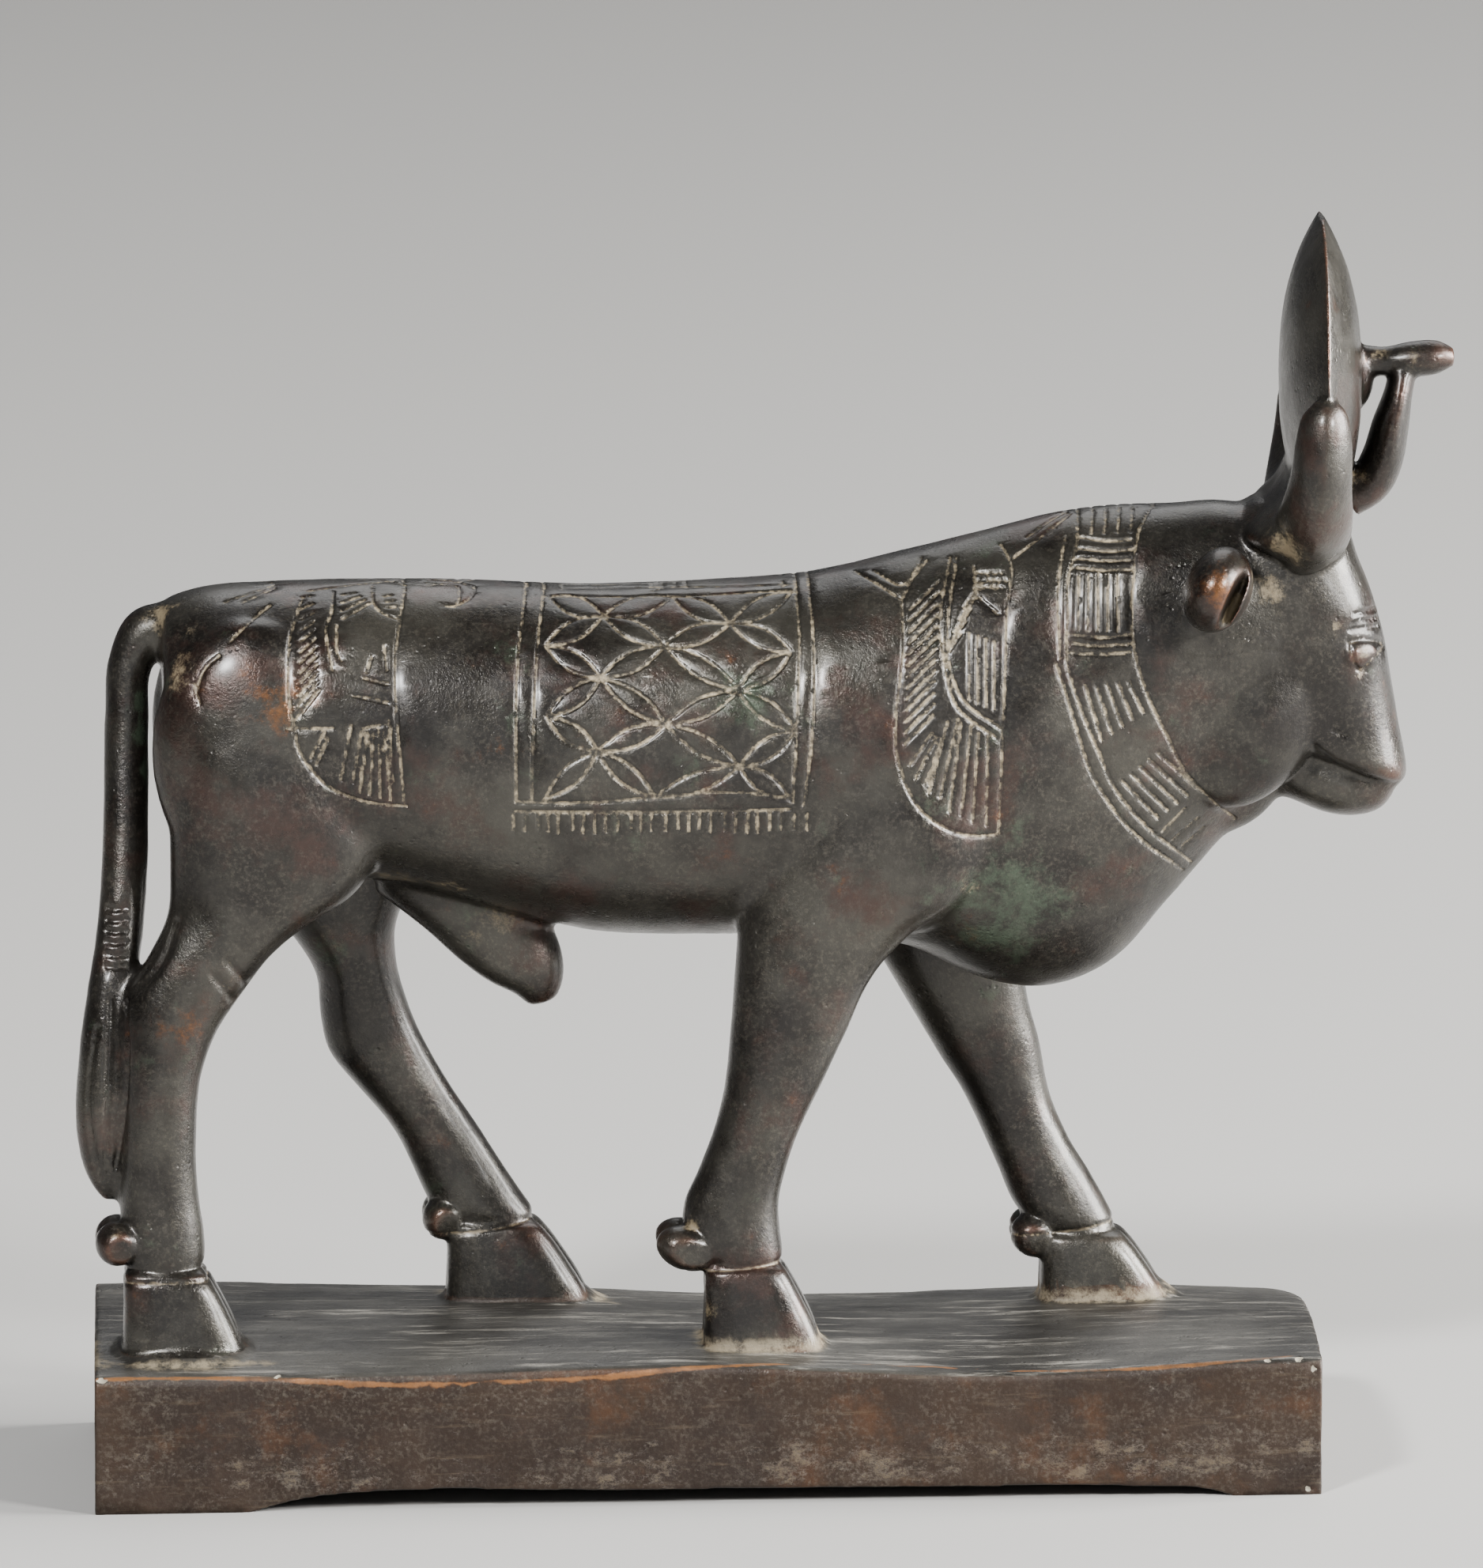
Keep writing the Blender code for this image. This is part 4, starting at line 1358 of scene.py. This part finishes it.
def mottleGroup():
    # slow clouds of two bronze tones with a third in patches, and a fine speckle
    group, w = newGroup(
        "bronzeMottle",
        [("Place", "Vector", None), ("Dark", "Color", (0.02, 0.017, 0.015, 1)),
         ("Pale", "Color", (0.07, 0.066, 0.058, 1)), ("Warm", "Color", (0.06, 0.03, 0.026, 1)),
         ("Patch", "Float", 0.5)],
        [("Color", "Color"), ("Rough", "Float")],
    )
    place = w.given("Place")
    cloud = w.ramp(w.noise(place, 60.0, 6.0, 0.68), 0.38, 0.66)
    colour = w.mix(cloud, w.given("Dark"), w.given("Pale"))
    warmth = w.times(w.ramp(w.noise(place, 95.0, 6.0, 0.7), 0.5, 0.68), w.given("Patch"))
    colour = w.mix(warmth, colour, w.given("Warm"))
    speckle = w.ramp(w.noise(place, 2300.0, 3.0, 0.75), 0.46, 0.7)
    thick = w.ramp(w.noise(place, 130.0, 4.0, 0.6), 0.34, 0.66, 0.25, 1.0)
    colour = w.mix(w.times(w.times(speckle, thick), 0.28), colour, skinTones["speckle"])
    dust = w.ramp(w.noise(place, 700.0, 5.0, 0.8), 0.54, 0.72)
    colour = w.mix(w.times(w.times(dust, thick), 0.2), colour, skinTones["dust"])
    rough = w.ramp(w.noise(place, 210.0, 5.0, 0.65), 0.3, 0.7, -0.08, 0.1)
    rough = w.plus(rough, w.times(dust, 0.1))
    w.send(Color=colour, Rough=rough)
    return group


def depositGroup():
    # earth held in sheltered hollows and in the marked places, broken up by noise
    group, w = newGroup(
        "depositMask",
        [("Place", "Vector", None), ("Shelter", "Float", 0.0), ("Relief", "Float", 0.0), ("Spot", "Float", 0.0),
         ("Amount", "Float", 1.0)],
        [("Mask", "Float")],
    )
    place = w.given("Place")
    held = w.times(w.ramp(w.given("Shelter"), 0.35, 0.9), 0.4)
    dip = w.ramp(w.given("Relief"), -0.03, -0.25)
    held = w.plus(held, w.times(dip, 0.4))
    held = w.plus(held, w.times(w.given("Spot"), 0.85))
    held = w.times(held, w.given("Amount"), clamp=True)
    broken = w.noise(place, 560.0, 8.0, 0.82)
    low = w.minus(0.64, w.times(held, 0.3))
    kept = w.ramp(broken, low, w.plus(low, 0.2))
    w.send(Mask=w.times(kept, w.ramp(held, 0.05, 0.7)))
    return group


def lineGroup():
    # pale fill in the engraved lines, worn out here and there
    group, w = newGroup(
        "lineFill",
        [("Place", "Vector", None), ("Gap", "Float", 1.0), ("Half", "Float", 0.22)],
        [("Mask", "Float"), ("Cut", "Float")],
    )
    place = w.given("Place")
    ragged = w.times(w.minus(w.noise(place, 1300.0, 3.0, 0.7), 0.5), 0.26)
    edge = w.plus(w.given("Half"), ragged)
    inside = w.ramp(w.minus(w.given("Gap"), edge), 0.06, -0.08)
    worn = w.ramp(w.noise(place, 120.0, 6.0, 0.75), 0.34, 0.56, 0.6, 1.0)
    grains = w.ramp(w.noise(place, 1500.0, 3.0, 0.7), 0.3, 0.54, 0.6, 1.0)
    filled = w.times(inside, w.times(worn, grains))
    w.send(Mask=filled, Cut=w.ramp(w.given("Gap"), 0.34, 0.05))
    return group


def grainGroup():
    # height of the casting skin: fine grain, small pits and slow waves
    group, w = newGroup(
        "castGrain",
        [("Place", "Vector", None), ("Pits", "Float", 0.5)],
        [("Height", "Float")],
    )
    place = w.given("Place")
    pits = w.tree.nodes.new("ShaderNodeTexVoronoi")
    pits.feature = "F1"
    w.link(place, pits.inputs["Vector"])
    pits.inputs["Scale"].default_value = 1100.0
    hole = w.ramp(pits.outputs["Distance"], 0.0, 0.3, 1.0, 0.0)
    sparse = w.ramp(w.noise(place, 300.0, 3.0), 0.5, 0.66)
    hole = w.times(w.times(hole, sparse), w.given("Pits"))
    grain = w.times(w.noise(place, 3200.0, 3.0, 0.75), 0.6)
    slow = w.times(w.noise(place, 620.0, 4.0, 0.6), 0.6)
    w.send(Height=w.minus(w.plus(grain, slow), hole))
    return group


def soleGroup():
    # dust in a ragged band round the soles
    group, w = newGroup("soleDust", [("Place", "Vector", None), ("Gap", "Float", 1.3)], [("Mask", "Float")])
    place = w.given("Place")
    near = w.ramp(w.given("Gap"), 1.25, 0.25)
    broken = w.ramp(w.plus(w.noise(place, 520.0, 8.0, 0.82), w.times(near, 0.1)), 0.46, 0.68)
    w.send(Mask=w.times(w.times(near, broken), 0.75))
    return group


mottle = mottleGroup()
deposit = depositGroup()
soleDust = soleGroup()
lineFill = lineGroup()
grain = grainGroup()


def newMaterial(name, viewColour):
    material = bpy.data.materials.new(name)
    material.use_nodes = True
    material.diffuse_color = viewColour
    shader = material.node_tree.nodes["Principled BSDF"]
    return material, shader, NodeWriter(material.node_tree)


def toneOf(w, place, look):
    return w.use(
        mottle, Place=place, Dark=look["dark"], Pale=look["pale"], Warm=look["warm"], Patch=look["patch"]
    )


def earthOf(w, place, amount):
    held = w.use(
        deposit, Place=place, Shelter=w.mask("shelter"), Relief=w.mask("relief"), Spot=w.mask("tan"),
        Amount=amount,
    )
    return held["Mask"]


def bumped(w, height, strength, distance, below=None):
    node = w.tree.nodes.new("ShaderNodeBump")
    node.inputs["Strength"].default_value = strength
    node.inputs["Distance"].default_value = distance * mm
    w.link(height, node.inputs["Height"])
    if below is not None:
        w.link(below, node.inputs["Normal"])
    return node.outputs[0]


bullLook = {
    "dark": (0.009, 0.0073, 0.006, 1),
    "pale": (0.04, 0.037, 0.03, 1),
    "warm": (0.036, 0.018, 0.0135, 1),
    "tan": (0.2, 0.155, 0.09, 1),
    "line": (0.38, 0.31, 0.2, 1),
    "green": (0.06, 0.085, 0.055, 1),
    "rust": (0.16, 0.058, 0.009, 1),
    "worn": (0.2, 0.08, 0.045, 1),
    "dust": (0.2, 0.165, 0.11, 1),
    "patch": 0.8,  # share of the warm patches
    "earth": 0.9,  # how readily earth holds
    "lineHalf": 0.18,
    "pits": 0.8,
    "grainBump": (0.65, 0.13),
    "lineBump": (0.5, 0.12),
    "roughness": 0.3,
    "metallic": 0.6,
    "coat": 0.3,
    "coatRoughness": 0.2,
}


def bullBronze():
    material, shader, w = newMaterial("agedBronze", (0.08, 0.07, 0.06, 1))
    place = w.place()
    tone = toneOf(w, place, bullLook)
    colour = tone["Color"]
    # verdigris and rust where the photograph shows them, and thinly elsewhere
    cloud = w.noise(place, 150.0, 7.0, 0.78)
    green = w.ramp(w.plus(w.times(w.mask("green"), 0.25), cloud), 0.58, 0.78)
    colour = w.mix(w.times(green, 0.6), colour, bullLook["green"])
    cloud = w.noise(place, 190.0, 7.0, 0.78)
    rust = w.ramp(w.plus(w.times(w.mask("rust"), 0.28), cloud), 0.62, 0.84)
    colour = w.mix(w.times(rust, 0.7), colour, bullLook["rust"])
    # rubbed edges
    worn = w.ramp(w.mask("relief"), 0.05, 0.26)
    rubbed = w.times(worn, w.ramp(w.noise(place, 300.0, 5.0, 0.7), 0.38, 0.6, 0.15, 1.0))
    colour = w.mix(w.times(rubbed, 0.65), colour, bullLook["worn"])
    # earth in hollows
    earth = earthOf(w, place, bullLook["earth"])
    colour = w.mix(w.times(earth, 0.7), colour, bullLook["tan"])
    # engraved lines
    line = w.use(lineFill, Place=place, Gap=w.mask("lineGap"), Half=bullLook["lineHalf"])
    colour = w.mix(w.times(line["Mask"], 0.9), colour, bullLook["line"])
    mark = w.use(lineFill, Place=place, Gap=w.mask("markGap"), Half=bullLook["lineHalf"])
    colour = w.mix(w.times(mark["Mask"], 0.75), colour, bullLook["tan"])
    # dust round the hooves' soles
    sole = w.use(soleDust, Place=place, Gap=w.mask("soleGap"))["Mask"]
    colour = w.mix(sole, colour, bullLook["dust"])
    w.link(colour, shader.inputs["Base Color"])
    dirt = w.larger(w.larger(earth, sole), w.larger(line["Mask"], mark["Mask"]))
    clean = w.minus(1.0, dirt)
    rough = w.plus(tone["Rough"], bullLook["roughness"])
    rough = w.minus(rough, w.times(worn, 0.08))
    rough = w.plus(rough, w.times(dirt, 0.3), clamp=True)
    w.link(rough, shader.inputs["Roughness"])
    w.link(w.times(clean, bullLook["metallic"]), shader.inputs["Metallic"])
    w.link(w.times(clean, bullLook["coat"]), shader.inputs["Coat Weight"])
    shader.inputs["Coat Roughness"].default_value = bullLook["coatRoughness"]
    height = w.use(grain, Place=place, Pits=bullLook["pits"])["Height"]
    fine = bumped(w, height, *bullLook["grainBump"])
    w.link(bumped(w, w.minus(1.0, line["Cut"]), *bullLook["lineBump"], fine), shader.inputs["Normal"])
    return material


plinthLook = {
    "dark": (0.012, 0.0062, 0.0034, 1),
    "pale": (0.022, 0.012, 0.0064, 1),
    "warm": (0.055, 0.022, 0.0075, 1),
    # painted reflection: lighter grey tones for the upward-facing top, standing in for its sheen
    "topSheenDark": (0.014, 0.013, 0.0115, 1),
    "topSheenPale": (0.045, 0.043, 0.038, 1),
    "streak": (0.24, 0.225, 0.195, 1),
    "crust": (0.125, 0.095, 0.06, 1),
    "dust": (0.2, 0.165, 0.11, 1),
    "tan": (0.21, 0.165, 0.1, 1),
    "edge": (0.2, 0.085, 0.028, 1),
    "chip": (0.28, 0.255, 0.2, 1),
    "patch": 0.6,
    "earth": 1.0,
    "pits": 1.0,
    "grainBump": (0.6, 0.13),
    "crustBump": (0.6, 0.2),
    "roughness": 0.46,
    "metallic": 0.2,
    "specular": 0.35,
}


def plinthBronze():
    material, shader, w = newMaterial("plinthBronze", (0.09, 0.07, 0.05, 1))
    place = w.place()
    split = w.tree.nodes.new("ShaderNodeSeparateXYZ")
    w.link(place, split.inputs[0])
    z = split.outputs["Z"]
    tone = toneOf(w, place, plinthLook)
    colour = tone["Color"]
    facing = w.tree.nodes.new("ShaderNodeSeparateXYZ")
    w.link(w.tree.nodes.new("ShaderNodeNewGeometry").outputs["Normal"], facing.inputs[0])
    level = w.ramp(facing.outputs["Z"], 0.5, 0.85)
    side = w.minus(1.0, level)
    # painted reflection: the top, facing up, is painted a lighter grey brown than the sides, standing in for
    # the sheen of grazing light, with pale streaks along its length
    topSheenCloud = w.ramp(w.noise(place, 110.0, 5.0, 0.65, (0.4, 1.0, 1.0)), 0.36, 0.66)
    topSheenTone = w.mix(topSheenCloud, plinthLook["topSheenDark"], plinthLook["topSheenPale"])
    streak = w.ramp(w.noise(place, 800.0, 7.0, 0.76, (0.1, 1.0, 1.0)), 0.5, 0.66)
    patchy = w.ramp(w.noise(place, 90.0, 4.0, 0.6), 0.35, 0.62, 0.15, 1.0)
    topSheenTone = w.mix(w.times(w.times(streak, patchy), 0.8), topSheenTone, plinthLook["streak"])
    # upward faces take the top's painted reflection tone in place of the brown of the sides
    colour = w.mix(level, colour, topSheenTone)
    # fine strokes along the sides, and flakes of crust low down
    stroke = w.ramp(w.noise(place, 1100.0, 5.0, 0.75, (0.1, 1.0, 1.0)), 0.54, 0.74)
    colour = w.mix(w.times(w.times(stroke, side), 0.25), colour, plinthLook["crust"])
    band = w.times(w.ramp(z, 0.0006, 0.0032), w.ramp(z, 0.0072, 0.0046))
    flakes = w.noise(place, 560.0, 8.0, 0.82, (0.6, 1.0, 1.0))
    bands = w.times(band, w.ramp(w.noise(place, 45.0, 3.0), 0.3, 0.6, 0.35, 1.0))
    crust = w.times(w.ramp(w.plus(flakes, w.times(bands, 0.13)), 0.62, 0.74), side)
    colour = w.mix(w.times(crust, 0.55), colour, plinthLook["crust"])
    # an orange brown line along the front's upper edge
    waver = w.minus(w.noise(place, 320.0, 4.0, 0.7), 0.5)
    thin = w.plus(0.24, w.times(waver, 0.7))
    rim = w.ramp(w.minus(w.mask("rimGap"), thin), 0.1, -0.12)
    rim = w.times(rim, w.ramp(w.noise(place, 110.0, 5.0, 0.7), 0.36, 0.56, 0.2, 1.0))
    colour = w.mix(w.times(rim, 0.75), colour, plinthLook["edge"])
    earth = earthOf(w, place, plinthLook["earth"])
    colour = w.mix(w.times(earth, 0.75), colour, plinthLook["tan"])
    sole = w.use(soleDust, Place=place, Gap=w.mask("soleGap"))["Mask"]
    colour = w.mix(sole, colour, plinthLook["dust"])
    chip = w.ramp(w.mask("chipped"), 0.3, 0.6)
    colour = w.mix(chip, colour, plinthLook["chip"])
    w.link(colour, shader.inputs["Base Color"])
    dull = w.larger(w.larger(crust, earth), w.larger(sole, chip))
    rough = w.minus(plinthLook["roughness"], w.times(level, 0.1))
    rough = w.plus(tone["Rough"], rough)
    rough = w.plus(rough, w.times(dull, 0.25), clamp=True)
    w.link(rough, shader.inputs["Roughness"])
    shine = w.times(w.minus(1.0, dull), plinthLook["metallic"])
    w.link(shine, shader.inputs["Metallic"])
    shader.inputs["Specular IOR Level"].default_value = plinthLook["specular"]
    height = w.use(grain, Place=place, Pits=plinthLook["pits"])["Height"]
    fine = bumped(w, height, *plinthLook["grainBump"])
    crusty = w.times(crust, w.plus(w.noise(place, 1200.0, 4.0, 0.7), 0.6))
    w.link(bumped(w, crusty, *plinthLook["crustBump"], fine), shader.inputs["Normal"])
    return material


def finishBull(item):
    item.name = "apis_bull_bronze"
    item.data.name = "apis_bull_bronze"
    item.data.materials.clear()
    item.data.materials.append(bullBronze())
    item.data.materials.append(plinthBronze())
    points = readPoints(item.data) / mm
    for face in item.data.polygons:
        face.use_smooth = True
        middle = points[list(face.vertices)].mean(0)
        share = (middle[1] + plinth["depth"] / 2) / plinth["depth"]
        top = plinth["topHeight"] + plinth["crown"] * 4 * share * (1 - share)
        face.material_index = 1 if middle[2] < top + plinth["skinLift"] else 0
    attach(item, "root")
    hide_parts("apis_bull")


finishBull(bull)
print("materials done")


stage = {
    "floorHalf": 3.0,
    "floorColour": (0.36, 0.354, 0.343, 1),
    "floorRoughness": 0.75,
    "world": (0.9, 0.93, 1.0, 1),
    "worldStrength": 0.08,
    "lightsAim": (0.0, 0.0, 0.06),
    # name: place, size, power, colour
    "lights": {
        "keyRight": ((1.15, 0.0, 0.42), 0.7, 80.0, (1.0, 0.99, 0.97)),
        "frontRight": ((0.95, -0.75, 0.55), 0.22, 30.0, (1.0, 0.99, 0.97)),
        "topLeft": ((-0.45, -0.8, 0.75), 0.15, 22.0, (1.0, 1.0, 1.0)),
        "lowFront": ((0.0, -1.3, 0.2), 0.6, 1.5, (0.95, 0.98, 1.0)),
        "back": ((0.2, 0.9, 0.9), 0.8, 4.0, (1.0, 1.0, 1.0)),
    },
}


def makeFloor():
    bm = bmesh.new()
    bmesh.ops.create_grid(bm, x_segments=2, y_segments=2, size=stage["floorHalf"])
    floor = meshObject("floor", bm)
    material, shader, w = newMaterial("paleFloor", stage["floorColour"])
    shader.inputs["Base Color"].default_value = stage["floorColour"]
    shader.inputs["Roughness"].default_value = stage["floorRoughness"]
    floor.data.materials.append(material)


def makeLights():
    world = bpy.data.worlds.new("studio")
    world.use_nodes = True
    background = world.node_tree.nodes["Background"]
    background.inputs["Color"].default_value = stage["world"]
    background.inputs["Strength"].default_value = stage["worldStrength"]
    scene.world = world
    for name, (place, size, power, colour) in stage["lights"].items():
        light = bpy.data.lights.new(name, "AREA")
        light.size = size
        light.energy = power
        light.color = colour
        lamp = bpy.data.objects.new(name, light)
        lamp.location = place
        way = Vector(stage["lightsAim"]) - Vector(place)
        lamp.rotation_euler = way.to_track_quat("-Z", "Y").to_euler()
        scene.collection.objects.link(lamp)


def makeCamera():
    data = bpy.data.cameras.new("camera")
    camera = bpy.data.objects.new("camera", data)
    camera.location = cameraPlace
    camera.rotation_euler = cameraTurn.to_euler()
    data.sensor_width = photo["sensor"]
    data.lens = photo["sensor"] * photo["distance"] / (photo["height"] * photo["mmPerPixel"])
    data.clip_start = 0.05
    data.clip_end = 20.0
    scene.collection.objects.link(camera)
    scene.camera = camera


makeFloor()
makeLights()
makeCamera()
